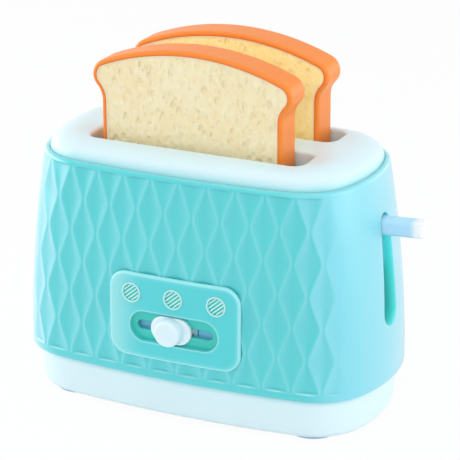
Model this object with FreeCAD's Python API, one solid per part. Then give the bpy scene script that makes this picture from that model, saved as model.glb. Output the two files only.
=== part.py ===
import FreeCAD, Part
import math
import os

# Toy two-slot toaster: a lozenge-relief sleeve on a plinth, a domed cover with two
# slices of toast, a sprung carriage with a side lever, and a front slider that latches it.
# Millimetres, +X to the lever end, -Y to the control panel, +Z up. The shapes are made about
# the middle of the plinth; the last step puts the origin on the table at the middle of the
# toy's whole footprint, lever and knob included.

V = FreeCAD.Vector
UP = V(0, 0, 1)
INWARD = V(0, 1, 0)
ALONG = V(1, 0, 0)

# ---- shared by the shape functions ----
cut_over = 1.0
weld = 0.5
tiny = 1e-6

# ---- sleeve ----
sleeve_bottom_z = 21.7
sleeve_top_z = 119.4
sleeve_half_length = 90.0
sleeve_half_width = 48.0
sleeve_lean_length = 9.3
sleeve_lean_width = 2.7
lean_power = 1.875
side_bow_radius = 498.0
end_bow_radius = 75.0
corner_radius = 28.9
sleeve_wall = 2.4
rim_round = 1.6
sleeve_sections = 7
round_sections = 7

# ---- cover ----
cover_gap = 0.1
cover_rise = 8.4
cover_run = 14.5
cover_wall = 2.4
cover_skirt = 5.0
bread_slot_x = 1.2
bread_slot_y = 18.55
bread_slot_end_gap = 3.7
bread_slot_side_gap = 2.15
bread_slot_corner = 5.5
bread_slot_lip = 1.6
lip_sections = 5
lip_over = 0.5
well_wall = 1.8
well_depth = 18.0

# ---- plinth and feet ----
foot_height = 1.3
foot_radius = 12.0
foot_recess = 0.8
foot_gap = 0.1
foot_round = 0.8
foot_inset_length = 24.7
foot_inset_width = 18.8
plinth_inset_length = 4.8
plinth_inset_width = 4.7
plinth_draft_length = 1.0
plinth_draft_width = 1.5
plinth_wall = 2.4
plinth_edge_round = 3.6
plinth_corner_radius = 28.0
plinth_spigot = 5.0

# ---- screws ----
screw_shank_radius = 1.5
screw_head_radius = 2.9
screw_head_height = 2.0
screw_fit = 0.02
screw_hole_gap = 0.25
screw_bottom_gap = 0.2
cross_recess_width = 0.8
cross_recess_depth = 1.0
cross_recess_share = 0.65
head_round_share = 0.45
head_depth_share = 0.6

# ---- screw posts joining sleeve, plinth and cover ----
post_inset_length = 21.0
post_inset_width = 22.0
post_radius = 4.6
post_joint_rise = 2.3
sleeve_post_height = 14.0
post_cap = 2.0
screw_tip_gap = 1.0
rib_thickness = 2.0
rib_length = 30.0
rib_bias = 0.45
rib_margin = 0.5
plinth_screw_length = 20.0
lug_inset_length = 27.0
lug_inset_width = 22.0
lug_radius = 5.0
lug_thickness = 4.0
lug_drop = 10.5
cover_post_radius = 3.9
cover_screw_length = 12.0
cover_hole_gap = 0.5

# ---- control panel ----
panel_x = 1.2
panel_half_width = 33.0
panel_low_z = 31.6
panel_high_z = 72.4
panel_corner_radius = 8.5
panel_proud = 1.5
panel_edge_round = 1.0
panel_blank = 20.0
tray_half_length = 22.1
tray_radius = 7.2
tray_z = 47.3
tray_depth = 2.2
tray_wall = 1.2
tray_lip = 1.6
tray_reach = 3.5
tray_fit = 0.1
sleeve_hole_depth = 12.0
slider_slot_half_length = 19.1
slider_slot_height = 4.3
runner_half_length = 22.2
runner_height = 7.4
panel_screw_x = 27.0
panel_screw_low = 4.6
panel_screw_high = 5.4
panel_screw_length = 3.0
panel_screw_shank_radius = 1.0
panel_screw_head_radius = 2.6
panel_screw_head_height = 1.4
panel_peg_radius = 2.0
panel_peg_seat = 0.05

# ---- three round icons ----
icon_pitch = 21.4
icon_z = 62.8
icon_ring_radius = 4.8
icon_ring_width = 0.8
icon_ring_proud = 0.35
icon_depth = 0.6
icon_bar_width = 0.75
icon_bar_pitch = 1.5
icon_bar_angle = 40.0
icon_bars = 5

# ---- slider ----
slider_offset = -1.4
slider_left = 10.3
slider_right = 13.1
knob_base_half_length = 10.1
knob_base_radius = 6.5
knob_base_thickness = 2.05
knob_base_gap = 0.15
knob_base_round = 0.7
knob_button_radius = 6.4
knob_button_length = 5.2
knob_button_round = 1.8
knob_stem_play = 0.1
knob_foot_half_length = 9.8
knob_foot_height = 4.0
knob_foot_gap = 0.1
knob_weld = 0.2
plate_gap = 0.1
plate_thickness = 1.4
plate_height = 9.0
plate_overlap = 0.6
plate_corner = 1.5
plate_way = 8.0
plate_end_gap = 1.0
bolt_flange_half_length = 7.0
bolt_flange_thickness = 1.5
bolt_offset = 2.8
bolt_width = 6.0
bolt_thickness = 3.0
bolt_tip_gap = 1.7
knob_screw_shank_radius = 1.0
knob_screw_head_radius = 2.3
knob_screw_head_height = 1.3
knob_screw_length = 8.0

# ---- lever and its slot ----
lever_width = 8.2
lever_height = 8.0
lever_edge_round = 2.4
lever_tip_round = 3.8
lever_tip_rise = 1.2
lever_z = 95.0
lever_reach = 15.0
lever_socket = 1.5
lever_travel = 39.0
lever_slot_width = 9.4
lever_slot_flare = 3.7
lever_slot_below = 4.0
lever_slot_above = 2.1
lever_collar_wall = 1.6
lever_collar_depth = 12.0
lever_root = 20.0
riser_gap = 0.5
lever_screw_shank_radius = 1.25
lever_screw_head_radius = 2.4
lever_screw_head_height = 1.6
lever_screw_length = 11.0
lever_hole_lead = 0.5

# ---- toast ----
toast_bottom_z = 76.0
toast_top_z = 172.3
toast_shoulder_half = 49.7
toast_waist_depth = 4.6
toast_neck_half = toast_shoulder_half - toast_waist_depth
toast_thickness = 15.4
toast_shift_y = 1.1
toast_shift_x = {"front": -0.8, "rear": 0.9}
toast_neck_radius = 10.0
toast_shoulder_radius = 7.4
toast_arch_radius = 118.0
toast_foot_radius = 8.0
toast_edge_round = 1.5
crust_width = 2.2
crust_ledge = 1.4
bread_thickness = 1.5
bread_recess = 0.35
bread_gap = 0.05

# ---- carriage ----
cradle_side_gap = 0.3
cradle_end_gap = 2.2
cradle_wall = 1.6
cradle_lip = 5.0
cradle_floor = 3.0
cross_overlap = 6.0
cross_gap = 1.0
rod_inset = 22.0
rod_y = 12.0
rod_radius = 2.0
bushing_radius = 4.3
bushing_drop = 8.0
bushing_rise = 5.0
rod_running_gap = 0.06
rod_chamfer = 0.4
rod_seat = 1.0
riser_thickness = 3.5
riser_half_width = 5.5
catch_gap = 0.6
catch_depth = 4.0
catch_length = 13.0
catch_clear_x = 2.0
catch_weld = 0.2

# ---- guide tower, rods and springs ----
tower_boss_height = 5.0
tower_plate = 3.0
tower_rise = 0.5
boss_hole_rise = 0.6
tower_setback = 15.0
tower_upright_length = 8.0
tower_upright_thickness = 3.0
tower_side_inset = 16.5
tower_tongue_half_width = 8.0
tower_boss_radius = 4.0
tower_screw_inset = 7.5
tower_screw_length = 7.0
spring_wire_radius = 0.5
spring_coil_radius = 3.3
spring_turns = 8.0

# ---- derived places ----
plinth_half_length = sleeve_half_length - plinth_inset_length
plinth_half_width = sleeve_half_width - plinth_inset_width
foot_x = plinth_half_length - foot_inset_length
foot_y = plinth_half_width - foot_inset_width
post_x = sleeve_half_length - post_inset_length
post_y = sleeve_half_width - post_inset_width
lug_x = sleeve_half_length - lug_inset_length
lug_y = sleeve_half_width - lug_inset_width
rod_x = sleeve_half_length - rod_inset
tower_front_x = rod_x - tower_setback
tower_half_width = sleeve_half_width - tower_side_inset
tower_screw_y = tower_half_width - tower_screw_inset
lever_tip_x = sleeve_half_length + lever_reach
lever_collar_x = sleeve_half_length - lever_collar_depth
bread_slot_half_length = toast_shoulder_half + bread_slot_end_gap
bread_slot_half_width = toast_thickness / 2 + bread_slot_side_gap
cover_top_z = sleeve_top_z + cover_rise
plinth_bottom_z = foot_height
plinth_floor_z = plinth_bottom_z + plinth_wall
rod_low_z = plinth_floor_z + rod_seat
post_joint_z = sleeve_bottom_z + post_joint_rise
tower_foot_z = plinth_floor_z + tower_boss_height
lever_low_z = lever_z - lever_height / 2
lever_slot_low_z = lever_low_z - lever_travel - lever_slot_below
lever_slot_high_z = lever_low_z + lever_height + lever_slot_above
tower_top_z = lever_z + lever_height / 2 + tower_rise
lug_top_z = sleeve_top_z - lug_drop
riser_back_x = lever_collar_x - riser_gap - riser_thickness
cradle_floor_z = toast_bottom_z - cradle_floor
cradle_half_length = toast_neck_half + cradle_end_gap
bushing_low_z = cradle_floor_z - bushing_drop
bushing_height = bushing_drop + cradle_floor + bushing_rise
slider_x = panel_x + slider_offset


# ================= shared shapes =================

def sleeve_size(z):
    """Half length and half width of the sleeve: it leans in as a power of the height."""
    t = max(0.0, (z - sleeve_bottom_z) / (sleeve_top_z - sleeve_bottom_z))
    lean = t ** lean_power
    return sleeve_half_length - sleeve_lean_length * lean, sleeve_half_width - sleeve_lean_width * lean


def front_y(z, proud=0.0, x=0.0):
    """Y of the sleeve's bowed front face, grown by proud, at a place along it."""
    bow_r = side_bow_radius + proud
    return -(sleeve_size(z)[1] + proud) + bow_r - math.sqrt(bow_r ** 2 - x ** 2)


def arc_edge(center, radius, start_deg, end_deg, place):
    """Arc about center in a plane; place turns its two coordinates into a vector."""
    points = []
    for share in (0.0, 0.5, 1.0):
        a = math.radians(start_deg + (end_deg - start_deg) * share)
        points.append(place(center[0] + radius * math.cos(a), center[1] + radius * math.sin(a)))
    return Part.Arc(*points).toShape()


def corner_center(half_x, half_y, side_r, end_r, corner_r):
    """Centre of the corner arc that touches the side arc and the end arc from inside."""
    side_c = (0.0, half_y - side_r)
    end_c = (half_x - end_r, 0.0)
    r1 = side_r - corner_r
    r2 = end_r - corner_r
    dx = end_c[0] - side_c[0]
    dy = end_c[1] - side_c[1]
    gap = math.hypot(dx, dy)
    along = (r1 * r1 - r2 * r2 + gap * gap) / (2 * gap)
    across = math.sqrt(r1 * r1 - along * along)
    ux, uy = dx / gap, dy / gap
    return side_c[0] + along * ux + across * uy, side_c[1] + along * uy - across * ux


def plan_wire(half_x, half_y, z, inset=0.0, corner=corner_radius):
    """Closed plan outline: bowed sides, bowed ends and round corners, all tangent."""
    side_r = side_bow_radius - inset
    end_r = end_bow_radius - inset
    corner_r = corner - inset
    cx, cy = corner_center(half_x, half_y, side_r, end_r, corner_r)
    side_deg = math.degrees(math.atan2(cy - half_y + side_r, cx))
    end_deg = math.degrees(math.atan2(cy, cx - half_x + end_r))

    def at(x, y):
        return V(x, y, z)

    edges = []
    for sx, sy in ((1, 1), (-1, 1), (-1, -1), (1, -1)):
        def quarter(x, y, sx=sx, sy=sy):
            return V(sx * x, sy * y, z)
        edges.append(arc_edge((cx, cy), corner_r, end_deg, side_deg, quarter))
    for sy in (1, -1):
        edges.append(arc_edge((0.0, sy * (half_y - side_r)), side_r,
                              sy * side_deg, sy * (180 - side_deg), at))
    for sx in (1, -1):
        turn = 0 if sx > 0 else 180
        edges.append(arc_edge((sx * (half_x - end_r), 0.0), end_r, turn - end_deg, turn + end_deg, at))
    return Part.Wire(Part.__sortEdges__(edges))


def sleeve_solid(offset, low_z, high_z):
    """Solid with the sleeve's outer form, grown by offset, between two heights."""
    wires = []
    for i in range(sleeve_sections):
        z = low_z + (high_z - low_z) * i / (sleeve_sections - 1)
        half_x, half_y = sleeve_size(z)
        wires.append(plan_wire(half_x + offset, half_y + offset, z, -offset))
    return Part.makeLoft(wires, True, False)


def round_over(half_x, half_y, z, run, rise, inset=0.0, corner=corner_radius):
    """Solid that starts at the plan outline at height z and rounds off over run and rise."""
    wires = []
    for i in range(round_sections):
        a = math.radians(90.0 * i / (round_sections - 1))
        step = run * (1 - math.cos(a))
        wires.append(plan_wire(half_x - step, half_y - step, z + rise * math.sin(a),
                               inset + step, corner))
    return Part.makeLoft(wires, True, False)


def stadium_wire(center, half_length, radius, long_way=ALONG, cross_way=INWARD):
    """Stadium outline, long in one direction and round at both ends."""
    straight = half_length - radius

    def at(u, v):
        return center + long_way * u + cross_way * v

    edges = [Part.makeLine(at(-straight, -radius), at(straight, -radius)),
             arc_edge((straight, 0), radius, -90, 90, at),
             Part.makeLine(at(straight, radius), at(-straight, radius)),
             arc_edge((-straight, 0), radius, 90, 270, at)]
    return Part.Wire(edges)


def slot_wire(center, grow=0.0):
    """Outline of a bread slot with its round corners, grown on every side."""
    radius = bread_slot_corner + grow
    in_x = bread_slot_half_length + grow - radius
    in_y = bread_slot_half_width + grow - radius

    def at(u, v):
        return center + V(u, v, 0)

    edges = []
    for sx, sy, turn in ((1, 1, 0), (-1, 1, 90), (-1, -1, 180), (1, -1, 270)):
        edges.append(arc_edge((sx * in_x, sy * in_y), radius, turn, turn + 90, at))
    for side in (-1, 1):
        edges.append(Part.makeLine(at(-in_x, side * (in_y + radius)), at(in_x, side * (in_y + radius))))
        edges.append(Part.makeLine(at(side * (in_x + radius), -in_y), at(side * (in_x + radius), in_y)))
    return Part.Wire(Part.__sortEdges__(edges))


def slot_prism(center, grow, height):
    return Part.Face(slot_wire(center, grow)).extrude(UP * height)


def slot_lip(x, y):
    """Flare that rounds over the upper edge of a bread slot."""
    wires = []
    for i in range(lip_sections):
        a = math.radians(90.0 * i / (lip_sections - 1))
        z = cover_top_z - bread_slot_lip * (1 - math.sin(a))
        wires.append(slot_wire(V(x, y, z), bread_slot_lip * (1 - math.cos(a))))
    wires.append(slot_wire(V(x, y, cover_top_z + lip_over), bread_slot_lip))
    return Part.makeLoft(wires, True, True)


def front_stadium(center, half_length, radius, depth):
    """Prism that runs inward from the front, with a stadium outline long in X."""
    return Part.Face(stadium_wire(center, half_length, radius, ALONG, UP)).extrude(INWARD * depth)


def rounded_box(low, high, radius, axis):
    """Box with the four edges along axis rounded."""
    box = Part.makeBox(high.x - low.x, high.y - low.y, high.z - low.z, low)
    chosen = [e for e in box.Edges if abs(e.tangentAt(e.FirstParameter).dot(axis)) > 0.99]
    return box.makeFillet(radius, chosen)


def box(low, high):
    return Part.makeBox(high.x - low.x, high.y - low.y, high.z - low.z, low)


def fuse(shapes):
    return shapes[0].multiFuse(shapes[1:]).removeSplitter()


def corners(x, y):
    return [(sx * x, sy * y) for sx in (-1, 1) for sy in (-1, 1)]


def pan_screw(tip_dir, head_place, shank_r, head_r, head_h, length):
    """Pan-head screw: head_place is where the head's seat is, the shank runs along tip_dir."""
    shank = Part.makeCylinder(shank_r, length, V(0, 0, 0), UP)
    head = Part.makeCylinder(head_r, head_h, V(0, 0, -head_h), UP)
    rim = [e for e in head.Edges if e.Closed and abs(e.Vertexes[0].Z + head_h) < tiny]
    head = head.makeFillet(head_h * head_round_share, rim)
    reach = head_r * cross_recess_share
    half = cross_recess_width / 2
    depth = min(cross_recess_depth, head_h * head_depth_share)
    recess = box(V(-reach, -half, -head_h), V(reach, half, -head_h + depth))
    recess = recess.fuse(box(V(-half, -reach, -head_h), V(half, reach, -head_h + depth)))
    screw = head.cut(recess).fuse(shank)
    screw.Placement = FreeCAD.Placement(head_place, FreeCAD.Rotation(UP, tip_dir))
    return screw


def end_slot_prism(grow, low_x, high_x):
    """Prism along X with the outline of the lever's slot, grown on every side. The slot is round at both
    ends, upright on its rear side and wider at the bottom, where its front side slants forward."""
    top_r = lever_slot_width / 2
    low_r = (lever_slot_width + lever_slot_flare) / 2
    top = (0.0, lever_slot_high_z - top_r)
    low = (top_r - low_r, lever_slot_low_z + low_r)
    slant_deg = 180 - 2 * math.degrees(math.atan2(top[0] - low[0], top[1] - low[1]))
    slant = math.radians(slant_deg)
    top_r += grow
    low_r += grow

    def at(y, z):
        return V(low_x, y, z)

    def on_slant(center, radius):
        return at(center[0] + radius * math.cos(slant), center[1] + radius * math.sin(slant))

    edges = [Part.makeLine(at(low[0] + low_r, low[1]), at(top[0] + top_r, top[1])),
             arc_edge(top, top_r, 0, slant_deg, at),
             Part.makeLine(on_slant(top, top_r), on_slant(low, low_r)),
             arc_edge(low, low_r, slant_deg, 360, at)]
    return Part.Face(Part.Wire(edges)).extrude(ALONG * (high_x - low_x))


# ================= housing =================

def panel_screw_places():
    """X and Z of the four screws that hold the control panel."""
    low = panel_low_z + panel_screw_low
    high = panel_high_z - panel_screw_high
    return [(panel_x + sx * panel_screw_x, z) for sx in (-1, 1) for z in (low, high)]


def tray_back_y():
    return front_y(tray_z) + tray_reach


def plate_front_y():
    return tray_back_y() + plate_gap


def corner_rib(x, y, half_width, low_z, high_z):
    """Web from an inner post out to the sleeve's nearest rounded corner."""
    rib = box(V(0, -half_width, low_z), V(rib_length, half_width, high_z))
    turn = FreeCAD.Rotation(UP, math.degrees(math.atan2(y, x * rib_bias)))
    rib.Placement = FreeCAD.Placement(V(x, y, 0), turn)
    return rib


def body_shell():
    rim_z = sleeve_top_z - rim_round
    rim_x, rim_y = sleeve_size(rim_z)
    rounded = fuse([sleeve_solid(0.0, sleeve_bottom_z, rim_z),
                    round_over(rim_x, rim_y, rim_z, rim_round, rim_round)])
    shell = rounded.cut(sleeve_solid(-sleeve_wall, sleeve_bottom_z - cut_over, sleeve_top_z + cut_over))

    extras = []
    collar = end_slot_prism(lever_collar_wall, lever_collar_x, sleeve_half_length + cut_over)
    extras.append(collar.common(rounded))
    inner_limit = sleeve_solid(-rib_margin, sleeve_bottom_z, sleeve_top_z)
    for x, y in corners(post_x, post_y):
        post = Part.makeCylinder(post_radius, sleeve_post_height, V(x, y, post_joint_z))
        rib_low = sleeve_bottom_z + plinth_spigot + 2 * rib_margin
        rib = corner_rib(x, y, rib_thickness / 2, rib_low, post_joint_z + sleeve_post_height)
        extras.append(fuse([post, rib]).common(inner_limit))
    for x, y in corners(lug_x, lug_y):
        lug = Part.makeCylinder(lug_radius, lug_thickness, V(x, y, lug_top_z - lug_thickness))
        web = corner_rib(x, y, lug_radius, lug_top_z - lug_thickness, lug_top_z)
        extras.append(fuse([lug, web]).common(inner_limit))
    shell = fuse([shell] + extras)

    cuts = [end_slot_prism(0.0, lever_collar_x - cut_over, sleeve_half_length + 2 * cut_over)]
    for x, y in corners(post_x, post_y):
        cuts.append(Part.makeCylinder(screw_shank_radius + screw_fit, sleeve_post_height - post_cap,
                                      V(x, y, post_joint_z)))
    for x, y in corners(lug_x, lug_y):
        cuts.append(Part.makeCylinder(screw_shank_radius + screw_hole_gap, lug_thickness + 2 * cut_over,
                                      V(x, y, lug_top_z - lug_thickness - cut_over)))
    before = -sleeve_half_width - cut_over
    cuts.append(front_stadium(V(panel_x, before, tray_z), tray_half_length + tray_wall + tray_fit,
                              tray_radius + tray_wall + tray_fit, sleeve_hole_depth))
    runner = plate_half_length() + slider_reach() + plate_end_gap
    half = plate_height / 2 + rib_margin
    cuts.append(box(V(panel_x - runner, tray_back_y(), tray_z - half),
                    V(panel_x + runner, tray_back_y() + plate_way, tray_z + half)))
    for x, z in panel_screw_places():
        cuts.append(Part.makeCylinder(panel_peg_radius + tray_fit, sleeve_hole_depth,
                                      V(x, before, z), INWARD))
    return shell.cut(fuse(cuts))


def cover_size():
    half_x, half_y = sleeve_size(sleeve_top_z)
    inset = sleeve_wall + cover_gap
    return half_x - inset, half_y - inset, inset


def cover_form(shrink):
    """Skirt and soft dome of the cover, shrunk by a wall on every side."""
    half_x, half_y, inset = cover_size()
    half_x -= shrink
    half_y -= shrink
    inset += shrink
    seam_z = sleeve_top_z - shrink
    skirt_low = sleeve_top_z - cover_skirt - (cut_over if shrink else 0.0)
    skirt = Part.Face(plan_wire(half_x, half_y, skirt_low, inset)).extrude(V(0, 0, seam_z - skirt_low))
    return fuse([skirt, round_over(half_x, half_y, seam_z, cover_run, cover_rise, inset)])


def top_cover():
    outer = cover_form(0.0)
    cover = outer.cut(cover_form(cover_wall))
    well_low = cover_top_z - well_depth
    extras = []
    for sy in (-1, 1):
        extras.append(slot_prism(V(bread_slot_x, sy * bread_slot_y, well_low), well_wall,
                                 well_depth - cover_wall / 2))
    for x, y in corners(lug_x, lug_y):
        post = Part.makeCylinder(cover_post_radius, cover_top_z - lug_top_z, V(x, y, lug_top_z))
        lower = Part.makeCylinder(cover_post_radius, sleeve_top_z - lug_top_z, V(x, y, lug_top_z))
        extras.append(lower.fuse(post.common(outer)))
    cover = fuse([cover] + extras)
    cuts = []
    for sy in (-1, 1):
        cuts.append(slot_prism(V(bread_slot_x, sy * bread_slot_y, well_low - cut_over), 0.0,
                               well_depth + 2 * cut_over))
        cuts.append(slot_lip(bread_slot_x, sy * bread_slot_y))
    for x, y in corners(lug_x, lug_y):
        cuts.append(Part.makeCylinder(screw_shank_radius + screw_fit,
                                      cover_screw_length - lug_thickness + cover_hole_gap,
                                      V(x, y, lug_top_z)))
    return cover.cut(fuse(cuts))


def plinth_size(z):
    """Half length and half width of the plinth, slightly drafted."""
    t = (z - plinth_bottom_z) / (sleeve_bottom_z - plinth_bottom_z)
    return plinth_half_length + plinth_draft_length * t, plinth_half_width + plinth_draft_width * t


def plinth_form(shrink, low_z, high_z):
    """Plinth outline between two heights, shrunk by a wall."""
    wires = []
    for z in (low_z, high_z):
        half_x, half_y = plinth_size(min(z, sleeve_bottom_z))
        wires.append(plan_wire(half_x - shrink, half_y - shrink, z, shrink, plinth_corner_radius))
    return Part.makeLoft(wires, True, True)


def base_plate():
    high_z = sleeve_bottom_z + plinth_spigot
    edge_z = plinth_bottom_z + plinth_edge_round
    edge_x, edge_y = plinth_size(edge_z)
    half_x, half_y = plinth_size(sleeve_bottom_z)
    collar = Part.Face(plan_wire(half_x, half_y, sleeve_bottom_z, 0.0, plinth_corner_radius))
    outer = fuse([plinth_form(0.0, edge_z, sleeve_bottom_z),
                  round_over(edge_x, edge_y, edge_z, plinth_edge_round, -plinth_edge_round,
                             0.0, plinth_corner_radius),
                  collar.extrude(V(0, 0, plinth_spigot))])
    hollow = plinth_form(plinth_wall, plinth_floor_z, high_z + cut_over)
    base = outer.cut(hollow)
    extras = []
    for x, y in corners(post_x, post_y):
        extras.append(Part.makeCylinder(post_radius, post_joint_z - plinth_bottom_z,
                                        V(x, y, plinth_bottom_z)))
    for x, y in tower_screw_places():
        extras.append(Part.makeCylinder(tower_boss_radius, tower_foot_z - plinth_floor_z + weld,
                                        V(x, y, plinth_floor_z - weld)))
    base = fuse([base] + extras)
    cuts = []
    seat_z = plinth_screw_seat_z()
    for x, y in corners(post_x, post_y):
        cuts.append(Part.makeCylinder(screw_head_radius + screw_hole_gap,
                                      seat_z - plinth_bottom_z + cut_over,
                                      V(x, y, plinth_bottom_z - cut_over)))
        cuts.append(Part.makeCylinder(screw_shank_radius + screw_hole_gap, post_joint_z,
                                      V(x, y, plinth_bottom_z)))
    for x, y in tower_screw_places():
        cuts.append(Part.makeCylinder(screw_shank_radius + screw_fit, tower_foot_z - plinth_floor_z,
                                      V(x, y, plinth_floor_z + boss_hole_rise)))
    for x, y in corners(foot_x, foot_y):
        cuts.append(Part.makeCylinder(foot_radius, foot_recess + cut_over,
                                      V(x, y, plinth_bottom_z - cut_over)))
    return base.cut(fuse(cuts))


def plinth_screw_seat_z():
    return post_joint_z + sleeve_post_height - post_cap - screw_tip_gap - plinth_screw_length


def foot(x, y):
    pad = Part.makeCylinder(foot_radius - foot_gap, foot_height + foot_recess, V(x, y, 0))
    rim = [e for e in pad.Edges if e.Closed and abs(e.Vertexes[0].Z) < tiny]
    return pad.makeFillet(foot_round, rim)


def base_screws():
    return [pan_screw(UP, V(x, y, plinth_screw_seat_z()), screw_shank_radius, screw_head_radius,
                      screw_head_height, plinth_screw_length) for x, y in corners(post_x, post_y)]


def cover_screws():
    return [pan_screw(UP, V(x, y, lug_top_z - lug_thickness), screw_shank_radius, screw_head_radius,
                      screw_head_height, cover_screw_length) for x, y in corners(lug_x, lug_y)]


# ================= control panel =================

def layer(blank, low, high):
    """Part of a blank that lies between two offsets of the sleeve's outer form."""
    inside = blank.common(sleeve_solid(high, sleeve_bottom_z, sleeve_top_z))
    return inside.cut(sleeve_solid(low, sleeve_bottom_z, sleeve_top_z))


def icon_place(x):
    """Placement whose local Z is the panel face's outward normal at an icon's middle."""
    step = icon_ring_width

    def face_y(z, across):
        return front_y(z, panel_proud, across)

    slope_x = (face_y(icon_z, x + step) - face_y(icon_z, x - step)) / (2 * step)
    slope_z = (face_y(icon_z + step, x) - face_y(icon_z - step, x)) / (2 * step)
    tilt = FreeCAD.Rotation(ALONG, V(1, slope_x, 0), V(slope_x, -1, slope_z), "ZXY")
    return FreeCAD.Placement(V(x, front_y(icon_z, panel_proud, x), icon_z), tilt)


def icon_cut(x):
    """Round pocket with diagonal bars left standing."""
    radius = icon_ring_radius - icon_ring_width
    pocket = Part.makeCylinder(radius, icon_depth + cut_over, V(0, 0, -icon_depth))
    bars = []
    for i in range(icon_bars):
        shift = (i - (icon_bars - 1) / 2) * icon_bar_pitch
        bar = box(V(-radius - cut_over, shift - icon_bar_width / 2, -icon_depth - cut_over),
                  V(radius + cut_over, shift + icon_bar_width / 2, 2 * cut_over))
        bar.rotate(V(0, 0, 0), UP, icon_bar_angle)
        bars.append(bar)
    pocket = pocket.cut(fuse(bars))
    pocket.Placement = icon_place(x)
    return pocket


def icon_ring(x):
    """Low raised ring around an icon, sunk a little into the panel's face."""
    ring = Part.makeCylinder(icon_ring_radius, icon_ring_proud + icon_depth, V(0, 0, -icon_depth))
    ring = ring.cut(Part.makeCylinder(icon_ring_radius - icon_ring_width, icon_ring_proud + 2 * cut_over,
                                      V(0, 0, -cut_over)))
    ring.Placement = icon_place(x)
    return ring


def control_panel():
    y_low = -sleeve_half_width - panel_proud - cut_over
    block = rounded_box(V(panel_x - panel_half_width, y_low, panel_low_z),
                        V(panel_x + panel_half_width, y_low + panel_blank, panel_high_z),
                        panel_corner_radius, INWARD)
    face = layer(block, 0.0, panel_proud)
    face = face.makeFillet(panel_edge_round, [e for e in face.Edges if on_panel_face(e)])
    tray = front_stadium(V(panel_x, y_low, tray_z), tray_half_length + tray_wall, tray_radius + tray_wall,
                         tray_back_y() - y_low)
    tray = tray.common(sleeve_solid(panel_proud / 2, sleeve_bottom_z, sleeve_top_z))
    pegs = []
    for x, z in panel_screw_places():
        start = front_y(z, 0.0, x) - weld
        pegs.append(Part.makeCylinder(panel_peg_radius, peg_back_y(x, z) - start, V(x, start, z), INWARD))
    rings = [icon_ring(panel_x + i * icon_pitch) for i in (-1, 0, 1)]
    panel = fuse([face, tray] + pegs + rings)

    recess_floor = tray_floor_y()
    cuts = [front_stadium(V(panel_x, y_low, tray_z), tray_half_length, tray_radius, recess_floor - y_low)]
    cuts.append(front_stadium(V(panel_x, y_low, tray_z), slider_slot_half_length, slider_slot_height / 2,
                              panel_blank))
    cuts.append(front_stadium(V(panel_x, recess_floor + tray_lip, tray_z), runner_half_length,
                              runner_height / 2, panel_blank))
    for x, z in panel_screw_places():
        hole = panel_screw_length + screw_bottom_gap
        cuts.append(Part.makeCylinder(panel_screw_shank_radius + screw_fit, hole + cut_over,
                                      V(x, peg_back_y(x, z) - hole, z), INWARD))
    for i in (-1, 0, 1):
        cuts.append(icon_cut(panel_x + i * icon_pitch))
    return panel.cut(fuse(cuts))


def on_panel_face(edge):
    """True for the edges around the front face of the panel's blank."""
    middle = (edge.FirstParameter + edge.LastParameter) / 2
    place = edge.valueAt(middle)
    along = abs(edge.tangentAt(middle).dot(INWARD))
    return along < 0.5 and place.y < front_y(place.z, panel_proud / 2, place.x)


def tray_floor_y():
    return front_y(tray_z, panel_proud) + tray_depth


def peg_back_y(x, z):
    """Back end of a panel peg, level with the sleeve's inner face there."""
    return front_y(z, 0.0, abs(x) + panel_peg_radius) + sleeve_wall + panel_peg_seat


def panel_screws():
    return [pan_screw(V(0, -1, 0), V(x, peg_back_y(x, z), z), panel_screw_shank_radius,
                      panel_screw_head_radius, panel_screw_head_height, panel_screw_length)
            for x, z in panel_screw_places()]


# ================= slider =================

def slider_reach():
    """Farthest that the slider gets from the middle of its slot."""
    return max(slider_left - slider_offset, slider_right + slider_offset)


def plate_half_length():
    """The plate hides the slot at both ends of the slider's travel."""
    return slider_slot_half_length + slider_reach() + plate_overlap


def knob_front_y():
    return tray_floor_y() - knob_base_gap - knob_base_thickness - knob_button_length


def slider_knob():
    """Oblong base in the tray with a round button in front and a keyed foot behind."""
    x = slider_x
    base_back = tray_floor_y() - knob_base_gap
    base_front = base_back - knob_base_thickness
    front = knob_front_y()
    base = front_stadium(V(x, base_front, tray_z), knob_base_half_length, knob_base_radius,
                         knob_base_thickness)
    base = base.makeFillet(knob_base_round, edges_at_y(base, base_front))
    button = Part.makeCylinder(knob_button_radius, base_back - front, V(x, front, tray_z), INWARD)
    button = button.makeFillet(knob_button_round, edges_at_y(button, front))
    stem_r = slider_slot_height / 2 - knob_stem_play
    stem = Part.makeCylinder(stem_r, plate_front_y() - base_back + knob_weld,
                             V(x, base_back - knob_weld, tray_z), INWARD)
    foot_front = tray_floor_y() + tray_lip + knob_foot_gap
    keyed_foot = front_stadium(V(x, foot_front, tray_z), knob_foot_half_length, knob_foot_height / 2,
                               plate_front_y() - foot_front)
    knob = fuse([base, button, stem, keyed_foot])
    back_y = plate_front_y()
    hole = knob_screw_length - plate_thickness - bolt_flange_thickness + screw_bottom_gap
    return knob.cut(Part.makeCylinder(knob_screw_shank_radius + screw_fit, hole + cut_over,
                                      V(x, back_y - hole, tray_z), INWARD))


def edges_at_y(shape, y):
    """Edges that lie wholly in the plane at y."""
    return [e for e in shape.Edges if max(abs(e.BoundBox.YMin - y), abs(e.BoundBox.YMax - y)) < tiny]


def slide_plate():
    x = slider_x
    y = plate_front_y()
    half = plate_half_length()
    plate = rounded_box(V(x - half, y, tray_z - plate_height / 2),
                        V(x + half, y + plate_thickness, tray_z + plate_height / 2), plate_corner, INWARD)
    hole = Part.makeCylinder(knob_screw_shank_radius + screw_hole_gap, plate_thickness + 2 * cut_over,
                             V(x, y - cut_over, tray_z), INWARD)
    return plate.cut(hole)


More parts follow.
